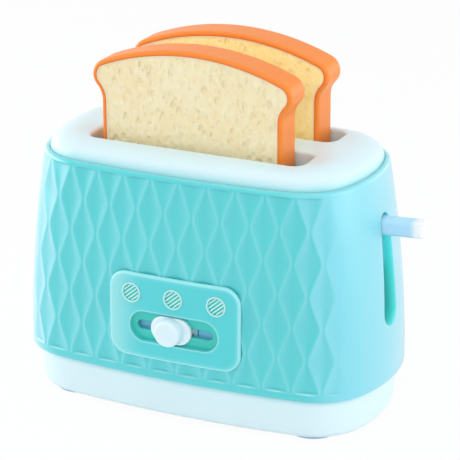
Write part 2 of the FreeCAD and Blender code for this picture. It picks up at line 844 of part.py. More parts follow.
def latch_bolt():
    x = slider_x
    y = plate_front_y() + plate_thickness
    flange = rounded_box(V(x - bolt_flange_half_length, y, tray_z - plate_height / 2),
                         V(x + bolt_flange_half_length + bolt_offset, y + bolt_flange_thickness,
                           tray_z + plate_height / 2), plate_corner, INWARD)
    low_x = bolt_low_x()
    tongue = box(V(low_x, y, bolt_low_z()),
                 V(low_x + bolt_width, bolt_tip_y(), bolt_low_z() + bolt_thickness))
    hole = Part.makeCylinder(knob_screw_shank_radius + screw_hole_gap, bolt_flange_thickness + 2 * cut_over,
                             V(x, y - cut_over, tray_z), INWARD)
    return fuse([flange, tongue]).cut(hole)


def bolt_tip_y():
    return cradle_front_y() - bolt_tip_gap


def cradle_front_y():
    """Front face of the front slice's cradle."""
    return toast_y("front") - toast_thickness / 2 - cradle_side_gap - cradle_wall


def bolt_low_x():
    return slider_x + bolt_offset


def bolt_low_z():
    return tray_z - bolt_thickness / 2


def knob_screw():
    seat_y = plate_front_y() + plate_thickness + bolt_flange_thickness
    return pan_screw(V(0, -1, 0), V(slider_x, seat_y, tray_z), knob_screw_shank_radius,
                     knob_screw_head_radius, knob_screw_head_height, knob_screw_length)


# ================= toast =================

def toast_y(place):
    side = -1 if place == "front" else 1
    return side * bread_slot_y + toast_shift_y


def toast_wire(inset, place, y):
    """Outline of a slice: round foot corners, waist, shoulders and an arched top."""
    neck = toast_neck_half - inset
    neck_r = toast_neck_radius + inset
    shoulder_r = toast_shoulder_radius - inset
    arch_r = toast_arch_radius - inset
    foot_r = toast_foot_radius - inset
    low = toast_bottom_z + inset
    arch_z = toast_top_z - toast_arch_radius
    shoulder_x = toast_shoulder_half - toast_shoulder_radius
    shoulder_z = arch_z + math.sqrt((toast_arch_radius - toast_shoulder_radius) ** 2 - shoulder_x ** 2)
    neck_x = neck + neck_r
    reach = toast_neck_radius + toast_shoulder_radius
    neck_z = shoulder_z - math.sqrt(reach ** 2 - (neck_x - shoulder_x) ** 2)
    waist_deg = math.degrees(math.atan2(shoulder_z - neck_z, shoulder_x - neck_x))
    top_deg = math.degrees(math.atan2(shoulder_z - arch_z, shoulder_x))
    shift = toast_shift_x[place]

    def right(x, z):
        return V(shift + x, y, z)

    def left(x, z):
        return V(shift - x, y, z)

    edges = [Part.makeLine(left(neck - foot_r, low), right(neck - foot_r, low)),
             arc_edge((0.0, arch_z), arch_r, top_deg, 180 - top_deg, right)]
    for side in (right, left):
        edges.append(arc_edge((neck - foot_r, low + foot_r), foot_r, -90, 0, side))
        edges.append(Part.makeLine(side(neck, low + foot_r), side(neck, neck_z)))
        edges.append(arc_edge((neck_x, neck_z), neck_r, 180, waist_deg, side))
        edges.append(arc_edge((shoulder_x, shoulder_z), shoulder_r, waist_deg - 180, top_deg, side))
    return Part.Wire(Part.__sortEdges__(edges))


def toast_prism(inset, place, y_low, y_high):
    return Part.Face(toast_wire(inset, place, y_low)).extrude(V(0, y_high - y_low, 0))


def toast_crust(place):
    """Hollow crust frame with a ledge on each side for the bread faces."""
    middle = toast_y(place)
    low = middle - toast_thickness / 2
    high = middle + toast_thickness / 2
    blank = toast_prism(0.0, place, low, high)
    rims = [e for e in blank.Edges if abs(e.tangentAt((e.FirstParameter + e.LastParameter) / 2).y) < tiny]
    blank = blank.makeFillet(toast_edge_round, rims)
    depth = bread_recess + bread_thickness
    hollow = toast_prism(crust_width + crust_ledge, place, low - cut_over, high + cut_over)
    front = toast_prism(crust_width, place, low - cut_over, low + depth)
    back = toast_prism(crust_width, place, high - depth, high + cut_over)
    return blank.cut(fuse([hollow, front, back]))


def bread_face(place, side):
    """Bread-coloured panel on one side of a slice."""
    middle = toast_y(place)
    outer = middle + side * (toast_thickness / 2 - bread_recess)
    inner = outer - side * bread_thickness
    return toast_prism(crust_width + bread_gap, place, min(outer, inner), max(outer, inner))


# ================= carriage =================

def rod_places():
    return [(rod_x, -rod_y), (rod_x, rod_y)]


def cradle(place):
    middle = toast_y(place)
    shift = toast_shift_x[place]
    inner = toast_thickness / 2 + cradle_side_gap
    outer = inner + cradle_wall
    half = cradle_half_length
    top = toast_bottom_z + cradle_lip
    block = box(V(shift - half - cradle_wall, middle - outer, cradle_floor_z),
                V(shift + half + cradle_wall, middle + outer, top))
    trough = box(V(shift - half, middle - inner, toast_bottom_z),
                 V(shift + half, middle + inner, top + cut_over))
    return block.cut(trough)


def catch_tab():
    """Post on the front cradle that the latch bolt slides over when the carriage is down."""
    top = bolt_low_z() - catch_gap + lever_travel
    low_x = bolt_low_x() + bolt_width + catch_clear_x
    low = V(low_x, bolt_tip_y() - catch_depth / 2, cradle_floor_z)
    high = V(low_x + catch_length, cradle_front_y() + catch_weld, top)
    return box(low, high)


def carriage():
    front = toast_y("front")
    rear = toast_y("rear")
    outer = toast_thickness / 2 + cradle_side_gap + cradle_wall
    start_x = cradle_half_length - cross_overlap
    cross_end = tower_front_x - cross_gap
    neck_half = rod_y + bushing_radius
    cross = box(V(start_x, front - outer, cradle_floor_z), V(cross_end, rear + outer, toast_bottom_z))
    tongue = box(V(cross_end - weld, -neck_half, cradle_floor_z),
                 V(riser_back_x + riser_thickness, neck_half, toast_bottom_z))
    riser = box(V(riser_back_x, -riser_half_width, cradle_floor_z),
                V(riser_back_x + riser_thickness, riser_half_width, tower_top_z))
    parts = [cradle("front"), cradle("rear"), cross, tongue, riser, catch_tab()]
    for x, y in rod_places():
        parts.append(Part.makeCylinder(bushing_radius, bushing_height, V(x, y, bushing_low_z)))
    body = fuse(parts)
    cuts = []
    for x, y in rod_places():
        cuts.append(Part.makeCylinder(rod_radius + rod_running_gap, bushing_height + 2 * cut_over,
                                      V(x, y, bushing_low_z - cut_over)))
    cuts.append(lever_blank())
    cuts.append(Part.makeCylinder(lever_screw_shank_radius + screw_hole_gap, riser_thickness + 2 * cut_over,
                                  V(riser_back_x - cut_over, 0, lever_z), ALONG))
    return body.cut(fuse(cuts))


def lever_section(x, z):
    """Square outline with rounded corners, across the lever at x."""
    block = rounded_box(V(x, -lever_width / 2, z - lever_height / 2),
                        V(x + cut_over, lever_width / 2, z + lever_height / 2), lever_edge_round, ALONG)
    ends = [f for f in block.Faces if max(abs(f.BoundBox.XMin - x), abs(f.BoundBox.XMax - x)) < tiny]
    return ends[0].OuterWire


def lever_blank():
    """Square-section bar with rounded edges that rises a little from the riser to its tip."""
    start = riser_back_x + riser_thickness - lever_socket
    ends = [lever_section(start, lever_z), lever_section(lever_tip_x, lever_z + lever_tip_rise)]
    return Part.makeLoft(ends, True, True)


def lever():
    """The bar with its tip rounded both in plan and in elevation."""
    start = riser_back_x + riser_thickness - lever_socket
    root_x = start - lever_root
    low = lever_low_z - lever_height
    high = lever_low_z + 2 * lever_height
    plan = rounded_box(V(root_x, -lever_width / 2, low), V(lever_tip_x, lever_width / 2, high),
                       lever_tip_round, UP)
    side = rounded_box(V(root_x, -lever_width, lever_low_z + lever_tip_rise),
                       V(lever_tip_x, lever_width, lever_low_z + lever_height + lever_tip_rise),
                       lever_tip_round, INWARD)
    root = box(V(root_x, -lever_width, low), V(lever_tip_x - lever_height, lever_width, high))
    bar = lever_blank().common(plan).common(fuse([side, root]))
    return bar.cut(Part.makeCylinder(lever_screw_shank_radius + screw_fit, lever_screw_length,
                                     V(start - lever_hole_lead, 0, lever_z), ALONG))


def lever_screw():
    return pan_screw(ALONG, V(riser_back_x, 0, lever_z), lever_screw_shank_radius,
                     lever_screw_head_radius, lever_screw_head_height, lever_screw_length)


# ================= guide tower, rods and springs =================

def tower_screw_places():
    front_x = tower_front_x + tower_upright_length / 2
    return [(front_x, -tower_screw_y), (front_x, tower_screw_y)]


def tower_end_x():
    return rod_x + bushing_radius


def guide_tower():
    top_low = tower_top_z
    half = tower_half_width
    back_x = tower_front_x + tower_upright_length
    foot_plate = box(V(tower_front_x, -half, tower_foot_z), V(back_x, half, tower_foot_z + tower_plate))
    foot_tongue = box(V(back_x - weld, -rod_y - bushing_radius, tower_foot_z),
                      V(tower_end_x(), rod_y + bushing_radius, tower_foot_z + tower_plate))
    top = box(V(tower_front_x, -half, top_low), V(back_x, half, top_low + tower_plate))
    top_tongue = box(V(back_x - weld, -rod_y - bushing_radius, top_low),
                     V(tower_end_x(), rod_y + bushing_radius, top_low + tower_plate))
    stop = box(V(tower_end_x() - weld, -tower_tongue_half_width, top_low),
               V(riser_back_x + riser_thickness, tower_tongue_half_width, top_low + tower_plate))
    parts = [foot_plate, foot_tongue, top, top_tongue, stop]
    for sy in (-1, 1):
        y_low = min(sy * half, sy * (half - tower_upright_thickness))
        parts.append(box(V(tower_front_x, y_low, tower_foot_z),
                         V(back_x, y_low + tower_upright_thickness, top_low + tower_plate)))
    for x, y in rod_places():
        parts.append(Part.makeCylinder(bushing_radius, tower_foot_z - plinth_floor_z,
                                       V(x, y, plinth_floor_z)))
    tower = fuse(parts)
    cuts = []
    for x, y in rod_places():
        cuts.append(Part.makeCylinder(rod_radius + screw_fit, top_low + tower_plate, V(x, y, rod_low_z)))
    for x, y in tower_screw_places():
        cuts.append(Part.makeCylinder(screw_shank_radius + screw_hole_gap, tower_plate + 2 * cut_over,
                                      V(x, y, tower_foot_z - cut_over)))
    return tower.cut(fuse(cuts))


def tower_screws():
    return [pan_screw(V(0, 0, -1), V(x, y, tower_foot_z + tower_plate), screw_shank_radius,
                      screw_head_radius, screw_head_height, tower_screw_length)
            for x, y in tower_screw_places()]


def guide_rod(x, y):
    rod = Part.makeCylinder(rod_radius, tower_top_z + tower_plate - rod_low_z, V(x, y, rod_low_z))
    ends = [e for e in rod.Edges if e.Closed]
    return rod.makeChamfer(rod_chamfer, ends)


def return_spring(x, y):
    """Round-wire compression spring between the tower's foot and the carriage."""
    low = tower_foot_z + tower_plate + spring_wire_radius
    high = bushing_low_z - spring_wire_radius
    helix = Part.makeHelix((high - low) / spring_turns, high - low, spring_coil_radius)
    start = V(spring_coil_radius, 0, 0)
    section = Part.Wire(Part.makeCircle(spring_wire_radius, start, V(0, 1, 0)))
    wire = Part.Wire(helix).makePipeShell([section], True, True)
    wire.translate(V(x, y, low))
    return wire


# ================= build =================

def build():
    nodes = {
        "body_shell": body_shell(),
        "top_cover": top_cover(),
        "base_plate": base_plate(),
        "control_panel": control_panel(),
        "guide_tower": guide_tower(),
        "carriage": carriage(),
        "lever": lever(),
        "lever_screw": lever_screw(),
        "slider_knob": slider_knob(),
        "slide_plate": slide_plate(),
        "latch_bolt": latch_bolt(),
        "knob_screw": knob_screw(),
        "base_screws": Part.makeCompound(base_screws()),
        "cover_screws": Part.makeCompound(cover_screws()),
        "panel_screws": Part.makeCompound(panel_screws()),
        "tower_screws": Part.makeCompound(tower_screws()),
    }
    for x, y in corners(foot_x, foot_y):
        name = "foot_" + ("front" if y < 0 else "rear") + ("_left" if x < 0 else "_right")
        nodes[name] = foot(x, y)
    for (x, y), name in zip(rod_places(), ("front", "rear")):
        nodes["guide_rod_" + name] = guide_rod(x, y)
        nodes["return_spring_" + name] = return_spring(x, y)
        nodes["toast_crust_" + name] = toast_crust(name)
        nodes["toast_face_" + name + "_outer"] = bread_face(name, -1)
        nodes["toast_face_" + name + "_inner"] = bread_face(name, 1)
    return nodes


def footprint_middle():
    """Middle of the whole toy's length and depth, lever and knob included."""
    return V((lever_tip_x - sleeve_half_length) / 2, (knob_front_y() + sleeve_half_width) / 2, 0)


def save(nodes):
    os.makedirs("parts", exist_ok=True)
    for name, shape in nodes.items():
        shape.translate(footprint_middle() * -1)
        shape.exportStep("parts/" + name + ".step")
        solids = len(shape.Solids)
        print(name, "solids", solids, "valid", shape.isValid(), "volume", round(shape.Volume / 1000.0, 3))


save(build())
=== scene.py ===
import math

import bpy
import numpy as np
from mathutils import Matrix, Vector


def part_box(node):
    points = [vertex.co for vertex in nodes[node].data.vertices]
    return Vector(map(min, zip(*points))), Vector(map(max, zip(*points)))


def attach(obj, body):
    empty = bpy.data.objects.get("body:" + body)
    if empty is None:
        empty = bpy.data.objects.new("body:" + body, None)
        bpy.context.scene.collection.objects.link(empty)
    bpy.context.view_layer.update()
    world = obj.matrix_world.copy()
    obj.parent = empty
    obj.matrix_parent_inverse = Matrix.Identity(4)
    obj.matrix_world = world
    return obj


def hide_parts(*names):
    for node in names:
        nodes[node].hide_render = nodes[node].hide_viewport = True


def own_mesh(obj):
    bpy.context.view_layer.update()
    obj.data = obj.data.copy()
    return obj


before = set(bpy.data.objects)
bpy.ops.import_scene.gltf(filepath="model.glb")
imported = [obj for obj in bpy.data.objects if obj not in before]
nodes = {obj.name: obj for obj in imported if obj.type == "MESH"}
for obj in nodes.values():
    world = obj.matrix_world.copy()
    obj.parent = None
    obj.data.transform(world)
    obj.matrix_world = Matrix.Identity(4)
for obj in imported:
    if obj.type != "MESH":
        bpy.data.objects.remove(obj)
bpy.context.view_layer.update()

# Toy two-slot toaster. Lengths in this file are millimetres about the middle of the sleeve, until a
# mesh is made; SHIFT takes them to the shared frame. Camera, lamps and shader groups work in metres.
MM = 0.001
BOX_LOW, BOX_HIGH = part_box("body_shell")
SHIFT = Vector(((BOX_LOW[0] + BOX_HIGH[0]) / 2, (BOX_LOW[1] + BOX_HIGH[1]) / 2, 0.0))

# ---- sleeve form, as in the solids; the half width is a hair less, to stay within their box ----
SLEEVE_LOW = 21.7
SLEEVE_HIGH = 119.4
HALF_LENGTH = 90.0
HALF_WIDTH = 47.98
LEAN_LENGTH = 9.3
LEAN_WIDTH = 2.7
LEAN_POWER = 1.875
SIDE_BOW = 498.0
END_BOW = 75.0
CORNER = 28.9
WALL = 2.4
RIM_ROUND = 1.6
FOOT_ROUND = 0.4
FOOT_BEND = 0.12
SLOT_RADIUS = 4.7
SLOT_FLARE = 3.7
SLOT_LOW = 48.0
SLOT_HIGH = 101.1
SLOT_LIP = 0.5
COLLAR_WALL = 1.6
COLLAR_X = 78.0
PANEL_X = 1.2
SLIDER_Z = 47.3
POCKET_HALF_HEIGHT = 6.0
POCKET_HALF_LENGTH = 45.5
POCKET_FACE = 44.28
PANEL_HOLE_Z = (36.0, 67.0)
PANEL_HOLE_HALF_LENGTH = 26.0
WELLS_HALF_X = 58.0
WELLS_HALF_Y = 32.0

# ---- lozenge relief ----
MIDDLE_LOW = 1.0
MIDDLE_HIGH = 2.7
PITCH_LOW = 14.2
PITCH_HIGH = 13.9
WAVE = 2.4
WAVE_SHARES = (0.92, 0.08)
WAVE_PERIOD = 30.3
RELIEF_LOW = 25.3
RELIEF_HIGH = 117.5
RELIEF_STEP = 0.5
RELIEF_FADE = 0.4
RELIEF_DEPTH = 1.0
CREST_SOFT = 0.3
CREST_REACH = 0.55
NARROWEST_CELL = 0.1
# the relief's strength by how squarely the surface faces the side
FACING = [0.47, 0.70, 0.85]
FACING_STRENGTH = [0.0, 0.15, 1.0]
# the ledges' light (above 0) and shade (below 0) by height
LEDGE_Z = [25.0, 25.3, 25.6, 25.95, 26.5, 27.2, 116.4, 116.8, 117.1, 117.5, 117.8]
LEDGE_LIGHT = [0.0, 1.0, 1.0, -1.0, -0.7, 0.0, 0.0, -0.6, -1.0, -1.0, 0.0]

# ---- rows and columns of the sleeve's mesh ----
LOW_LEDGE_ROWS = [24.0, 25.0, 25.3, 25.6, 25.8, 25.95, 26.5]
HIGH_LEDGE_ROWS = [116.8, 117.1]
EVEN_ROWS_Z = (27.2, 116.4)
ROWS_TO_SLOT = 24
ROWS_ALONG_SLOT = 37
ROWS_PAST_SLOT = 17
RIM_ANGLES = [22.5, 45.0, 67.5, 90.0]
LIP_ANGLES = [25.0, 50.0, 90.0]
RIDGES = (-12, 11)
CELL_SHARES = [0.0, 0.07, 0.18, 0.34, 0.5, 0.66, 0.82, 0.93]
CORNER_SHARES = [0.25, 0.5, 0.75, 1.0]
FREE_LENGTH = 64.0
CORNER_ROOM = 2.5
BEND_LIMIT = 62.0
END_COLUMNS = 16
BLEND_BELOW_SLOT = 16.0
BLEND_ABOVE_SLOT = 15.0

# ---- icons on the panel ----
# these place the painted highlights on the icons' rings and bars and the painted shade in their grooves
ICON_Z = 62.8
ICON_SPACING = 21.4
ICON_RING = 4.8
ICON_DISC = 4.0
ICON_BAR_WIDTH = 0.75
ICON_BAR_PITCH = 1.5
ICON_BAR_ANGLE = 40.0
ICON_BAR_SOFT = 0.05

# ---- toast and springs, as in the solids ----
TOAST_LOW = 76.0
TOAST_HIGH = 172.3
TOAST_NECK = 45.1
TOAST_NECK_RADIUS = 10.0
TOAST_SHOULDER = 49.7
TOAST_SHOULDER_RADIUS = 7.4
TOAST_ARCH_RADIUS = 118.0
TOAST_FOOT_RADIUS = 8.0
TOAST_MIDDLE_Y = {"front": -17.45, "rear": 19.65}
TOAST_SHIFT_X = {"front": -0.8, "rear": 0.9}
BREAD_FACE = 7.35
CRUST_WIDTH = 2.2
BEAD_RADIUS = 0.42
BEAD_INSET = 0.9 * BEAD_RADIUS
BEAD_SINK = 0.05
SPRING_PLACE = {"front": (68.0, -12.0), "rear": (68.0, 12.0)}
SPRING_COIL = 3.3
SPRING_WIRE = 0.5
SPRING_TURNS = 8.0
SPRING_LOW = 11.7
SPRING_HIGH = 65.0
TURN_STEPS = 36
ROUND_SIDES = 10
FOOT_STEPS = 9
NECK_STEPS = 12
SHOULDER_STEPS = 16
ARCH_STEPS = 24

# ---- camera and lamps, in metres and degrees ----
CAMERA_AIM = (0.0035, 0.0071, 0.0779)
CAMERA_TURNS = (25.263, 20.505, -0.217)
CAMERA_DISTANCE = 1.075
CAMERA_LENS = 178.84
CAMERA_SENSOR = 36.0
CAMERA_REACH = 20.0
WHITE = (1.0, 1.0, 1.0, 1.0)
BLACK = (0.0, 0.0, 0.0, 1.0)
ROOM_COLOR = (0.93, 0.97, 1.0, 1.0)
ROOM_STRENGTH = 0.42
FLOOR_COLOR = (0.92, 0.93, 0.94, 1.0)
FLOOR_HALF = 6.0
FLOOR_GLOW = 0.94
LAMP_AIM = (0.0, 0.0, 0.08)
COOL = (0.9, 0.96, 1.0)
# name, place, width and height, watts, colour
LAMPS = (("right_lamp", (1.0, 0.1, 0.3), (0.8, 0.8), 4.5, COOL),
         ("right_back_lamp", (0.6, 0.95, 0.2), (0.8, 0.5), 1.6, COOL),
         ("left_lamp", (-1.0, -0.25, 0.3), (0.7, 0.7), 4.5, (0.95, 0.98, 1.0)),
         ("left_back_lamp", (-1.0, 0.35, 0.2), (0.6, 0.5), 2.5, COOL),
         ("top_lamp", (0.0, 0.0, 1.1), (0.9, 0.9), 3.3, (1.0, 1.0, 1.0)),
         ("front_lamp", (0.25, -1.2, 0.7), (0.9, 0.5), 4.6, (1.0, 1.0, 1.0)))

# ---- finishes; noise scales count patches to a metre ----
TONE_NOISE = 22.0
GLOSS_NOISE = 90.0
GRAIN_NOISE = 2600.0
WAVE_NOISE = 60.0
WAVE_HEIGHT = 0.6
EDGE_ROUND = 0.0006
EDGE_SAMPLES = 6
NEARNESS_SAMPLES = 8
# mask, whether it looks inwards, openness where it starts and where it is full
NEARNESS = (("Hollow", False, 0.92, 0.45), ("Rim", True, 0.88, 0.55))
# edge of the bread's wells in shares of their half sizes
WELLS_EDGE = (0.98, 1.02)
TONE_DRIFT = 0.03
GLOSS_PATCHES = 0.06
GRAIN_DEPTH = 0.0001
COAT_ROUGHNESS = 0.3
SHEEN_TINT = (0.72, 0.92, 1.0, 1.0)
SHEEN_ROUGHNESS = 0.5
RIM_REACH = 0.0012
CRUMB_STRETCH = (1.0, 1.0, 0.62)
# dimples of the crumb: how many to a metre, distance where one starts and where it is full, strength
CRUMB_PITS = ((250.0, 0.4, 0.08, 1.3), (450.0, 0.34, 0.06, 0.7))
# share of the painted shade in the crumb's pits
CRUMB_PIT_SHADE = 0.3
CRUMB_DEPTH = 0.0009
CRUMB_BROAD = 60.0
CRUMB_FINE = 700.0
CRUMB_SOFT = 380.0
CRUMB_FINE_HEIGHT = 0.2
CRUMB_SOFT_HEIGHT = 0.9
# noise range of the painted highlight on the crumb's high places
CRUMB_HIGHLIGHT = (0.35, 0.75)
CRUMB_ROUGH = 0.38
CRUMB_ROUGH_SWING = 0.2
CRUMB_GLOW = 0.1
# colour of the painted glow, for warm light bounced between the slices onto the rear crumb
CRUMB_LIGHT = "#FFC060"
SCRATCH_COLOR = (0.5, 0.5, 0.52, 1.0)
SCRATCH_ROUGH_SWING = 0.2
SCRATCH_BUMP = 0.1
SCRATCH_DEPTH = 0.00005


# ================= shader nodes =================

def fill(tree, node, inputs):
    """Gives each named or numbered input of a node its link or its value."""
    for key, value in inputs.items():
        if isinstance(value, bpy.types.NodeSocket):
            tree.links.new(value, node.inputs[key])
        else:
            node.inputs[key].default_value = value


def add_node(tree, kind, inputs=None, **settings):
    """Node of a kind, with its settings and its inputs."""
    node = tree.nodes.new("ShaderNode" + kind)
    for label, value in settings.items():
        setattr(node, label, value)
    fill(tree, node, inputs or {})
    return node


def math_node(tree, operation, first, second=0.0):
    """Number that an operation makes of two numbers."""
    return add_node(tree, "Math", {0: first, 1: second}, operation=operation).outputs[0]


def vector_math(tree, operation, first, second=(0.0, 0.0, 0.0)):
    """Vector that an operation makes of two, or the number that a dot product or a length is."""
    node = add_node(tree, "VectorMath", {0: first, 1: second}, operation=operation)
    return node.outputs["Value" if operation in ("DOT_PRODUCT", "LENGTH") else "Vector"]


def object_place(tree):
    """Place of the surface in the shared frame."""
    return add_node(tree, "TexCoord").outputs["Object"]


def axis_of(tree, vector, axis):
    """One axis of a vector."""
    return add_node(tree, "SeparateXYZ", {0: vector}).outputs[axis]


def mask_between(tree, value, low, high, curve="LINEAR", ends=(0.0, 1.0)):
    """Mask that goes from 0, where a value is low, to 1, where it is high; ends replaces 0 and 1."""
    return add_node(tree, "MapRange", {"Value": value, "From Min": low, "From Max": high,
                                       "To Min": ends[0], "To Max": ends[1]},
                    interpolation_type=curve).outputs[0]


def noise(tree, place, scale, detail, rough=0.5):
    """Soft noise from 0 to 1."""
    return add_node(tree, "TexNoise", {"Vector": place, "Scale": scale, "Detail": detail,
                                       "Roughness": rough}).outputs["Fac"]


def mix_color(tree, factor, first, second):
    """First colour, turned to the second by a factor."""
    return add_node(tree, "Mix", {0: factor, 6: first, 7: second}, data_type="RGBA").outputs[2]


def attribute(tree, label):
    """Attribute of a mesh."""
    return add_node(tree, "Attribute", attribute_name=label).outputs["Fac"]


def bump_node(tree, height, strength, depth, **normal):
    """Normal that a height pattern bumps, over the one given as Normal if any."""
    return add_node(tree, "Bump", {"Height": height, "Strength": strength, "Distance": depth,
                                   **normal}).outputs[0]


# ================= camera =================

def add_camera():
    """Camera on a sphere about the aim point: azimuth from the front, elevation and a hair of roll."""
    azimuth, elevation, roll = (math.radians(angle) for angle in CAMERA_TURNS)
    back = Vector((math.sin(azimuth) * math.cos(elevation),
                   -math.cos(azimuth) * math.cos(elevation), math.sin(elevation)))
    level = Vector((math.cos(azimuth), math.sin(azimuth), 0.0))
    upright = back.cross(level)
    right = level * math.cos(roll) + upright * math.sin(roll)
    up = upright * math.cos(roll) - level * math.sin(roll)
    data = bpy.data.cameras.new("camera")
    data.sensor_width = CAMERA_SENSOR
    data.lens = CAMERA_LENS
    data.clip_end = CAMERA_REACH
    camera = bpy.data.objects.new("camera", data)
    turn = Matrix((right, up, back)).transposed().to_4x4()
    place = SHIFT + Vector(CAMERA_AIM) + back * CAMERA_DISTANCE
    camera.matrix_world = Matrix.Translation(place) @ turn
    bpy.context.scene.collection.objects.link(camera)
    bpy.context.scene.camera = camera


# ================= light and stage =================

def add_lamp(name, place, size, watts, color):
    """Rectangular lamp that faces the toy."""
    data = bpy.data.lights.new(name, "AREA")
    data.shape = "RECTANGLE"
    data.size, data.size_y = size
    data.energy = watts
    data.color = color
    lamp = bpy.data.objects.new(name, data)
    lamp.location = SHIFT + Vector(place)
    lamp.rotation_euler = (Vector(LAMP_AIM) - Vector(place)).to_track_quat("-Z", "Y").to_euler()
    bpy.context.scene.collection.objects.link(lamp)


def seen_rays(tree):
    """1 on camera, glossy and transmission rays, which see the background; 0 on lighting rays."""
    path = add_node(tree, "LightPath").outputs
    seen = math_node(tree, "MAXIMUM", path["Is Camera Ray"], path["Is Glossy Ray"])
    return math_node(tree, "MAXIMUM", seen, path["Is Transmission Ray"])


def light_the_studio():
    """Soft pale room behind a white background, and six lamps."""
    scene = bpy.context.scene
    scene.view_settings.view_transform = "Standard"
    scene.world = bpy.data.worlds.new("studio")
    scene.world.use_nodes = True
    tree = scene.world.node_tree
    tree.nodes.clear()
    soft = add_node(tree, "Background", {"Color": ROOM_COLOR, "Strength": ROOM_STRENGTH})
    white = add_node(tree, "Background", {"Color": WHITE, "Strength": 1.0})
    mix = add_node(tree, "MixShader", {0: seen_rays(tree), 1: soft.outputs[0], 2: white.outputs[0]})
    add_node(tree, "OutputWorld", {"Surface": mix.outputs[0]})
    for lamp in LAMPS:
        add_lamp(*lamp)


def add_floor():
    """Large level floor that is white where it is lit and keeps the shadow."""
    half = FLOOR_HALF
    mesh = bpy.data.meshes.new("floor")
    mesh.from_pydata([(-half, -half, 0), (half, -half, 0), (half, half, 0), (-half, half, 0)], [],
                     [(0, 1, 2, 3)])
    floor = bpy.data.objects.new("floor", mesh)
    bpy.context.scene.collection.objects.link(floor)
    material = bpy.data.materials.new("floor_paper")
    material.use_nodes = True
    tree = material.node_tree
    tree.nodes.clear()
    matt = add_node(tree, "BsdfDiffuse", {"Color": FLOOR_COLOR})
    glow = add_node(tree, "Emission", {"Color": WHITE, "Strength": 1.0})
    share = math_node(tree, "MULTIPLY", seen_rays(tree), FLOOR_GLOW)
    mix = add_node(tree, "MixShader", {0: share, 1: matt.outputs[0], 2: glow.outputs[0]})
    add_node(tree, "OutputMaterial", {"Surface": mix.outputs[0]})
    mesh.materials.append(material)


# ================= mesh helpers =================

def make_piece(name, points, faces, body, material, replaces=()):
    """Smooth mesh object from an array of points in mm and a list of faces, at the origin."""
    mesh = bpy.data.meshes.new(name)
    mesh.from_pydata((np.asarray(points, float) * MM + np.array(SHIFT)).tolist(), [], faces)
    mesh.validate()
    mesh.polygons.foreach_set("use_smooth", [True] * len(mesh.polygons))
    mesh.materials.append(material)
    piece = bpy.data.objects.new(name, mesh)
    bpy.context.scene.collection.objects.link(piece)
    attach(piece, body)
    if replaces:
        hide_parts(*replaces)
    return piece


def smoothstep(low, high, value):
    """0 below low, 1 above high, and an S curve between."""
    t = np.clip((value - low) / (high - low), 0.0, 1.0)
    return t * t * (3 - 2 * t)


def grid_quads(rows, columns):
    """Quads of a grid of numbered points that closes round both ways; each starts at its own point."""
    index = np.arange(rows * columns).reshape(rows, columns)
    beside = np.roll(index, -1, axis=1)
    return np.stack([index, beside, np.roll(beside, -1, axis=0), np.roll(index, -1, axis=0)], -1)


def bridge(first, second):
    """Quads between two closed loops that have as many points."""
    return np.stack([first, np.roll(first, -1), np.roll(second, -1), second], -1)


def circle_angles(count):
    """Even angles once round, without the last, which is the first again."""
    return np.linspace(0, 2 * math.pi, count + 1)[:-1]


# ================= sleeve with the lozenge relief =================

def half_sizes(z):
    """Half length and half width of the sleeve: it leans in as a power of the height."""
    t = np.clip((z - SLEEVE_LOW) / (SLEEVE_HIGH - SLEEVE_LOW), 0.0, 1.0)
    return HALF_LENGTH - LEAN_LENGTH * t ** LEAN_POWER, HALF_WIDTH - LEAN_WIDTH * t ** LEAN_POWER


def corner_center(half_x, half_y):
    """Centre of the corner arc that touches the side arc and the end arc from inside."""
    side_y = half_y - SIDE_BOW
    end_x = half_x - END_BOW
    r1 = SIDE_BOW - CORNER
    r2 = END_BOW - CORNER
    gap = np.hypot(end_x, side_y)
    along = (r1 ** 2 - r2 ** 2 + gap ** 2) / (2 * gap)
    across = np.sqrt(r1 ** 2 - along ** 2)
    ux, uy = end_x / gap, -side_y / gap
    return along * ux + across * uy, side_y + along * uy - across * ux


def side_arcs(z):
    """Half width and corner centre of the long side at height z, and where its own arc meets the corner:
    angle and length."""
    half_x, half_y = half_sizes(z)
    cx, cy = corner_center(half_x, half_y)
    touch = np.arctan2(cx, cy - half_y + SIDE_BOW)
    return half_y, cx, cy, touch, SIDE_BOW * touch


def on_side(length, z):
    """X, y (taken positive) and outward normal of the sleeve's long side, a length along it from the
    middle."""
    half_y, cx, cy, touch, reach = side_arcs(z)
    run = np.abs(length)
    far = run > reach
    angle = np.where(far, touch + (run - reach) / CORNER, run / SIDE_BOW)
    x = np.where(far, cx + CORNER * np.sin(angle), SIDE_BOW * np.sin(angle)) * np.sign(length)
    y = np.where(far, cy + CORNER * np.cos(angle), half_y - SIDE_BOW + SIDE_BOW * np.cos(angle))
    return x, y, np.sin(angle) * np.sign(length), np.cos(angle)


def on_end(y, z):
    """X (taken positive) and outward normal of the sleeve's end at y, on its arc or on the corner."""
    half_x, half_y = half_sizes(z)
    cx, cy = corner_center(half_x, half_y)
    reach = np.hypot(cx - half_x + END_BOW, cy)
    touch = END_BOW * cy / reach
    far = np.abs(y) > touch
    over = np.clip((np.abs(y) - cy) / CORNER, -1.0, 1.0)
    x = np.where(far, cx + CORNER * np.sqrt(1 - over ** 2),
                 half_x - END_BOW + np.sqrt(END_BOW ** 2 - y ** 2))
    ny = np.where(far, over * np.sign(y), y / END_BOW)
    return x, np.sqrt(1 - ny ** 2), ny


def pitch(z):
    """Middle line and width of a pair of ridges at height z."""
    share = np.clip((z - RELIEF_LOW) / (RELIEF_HIGH - RELIEF_LOW), 0, 1)
    middle = MIDDLE_LOW + (MIDDLE_HIGH - MIDDLE_LOW) * share
    return middle, PITCH_LOW + (PITCH_HIGH - PITCH_LOW) * share


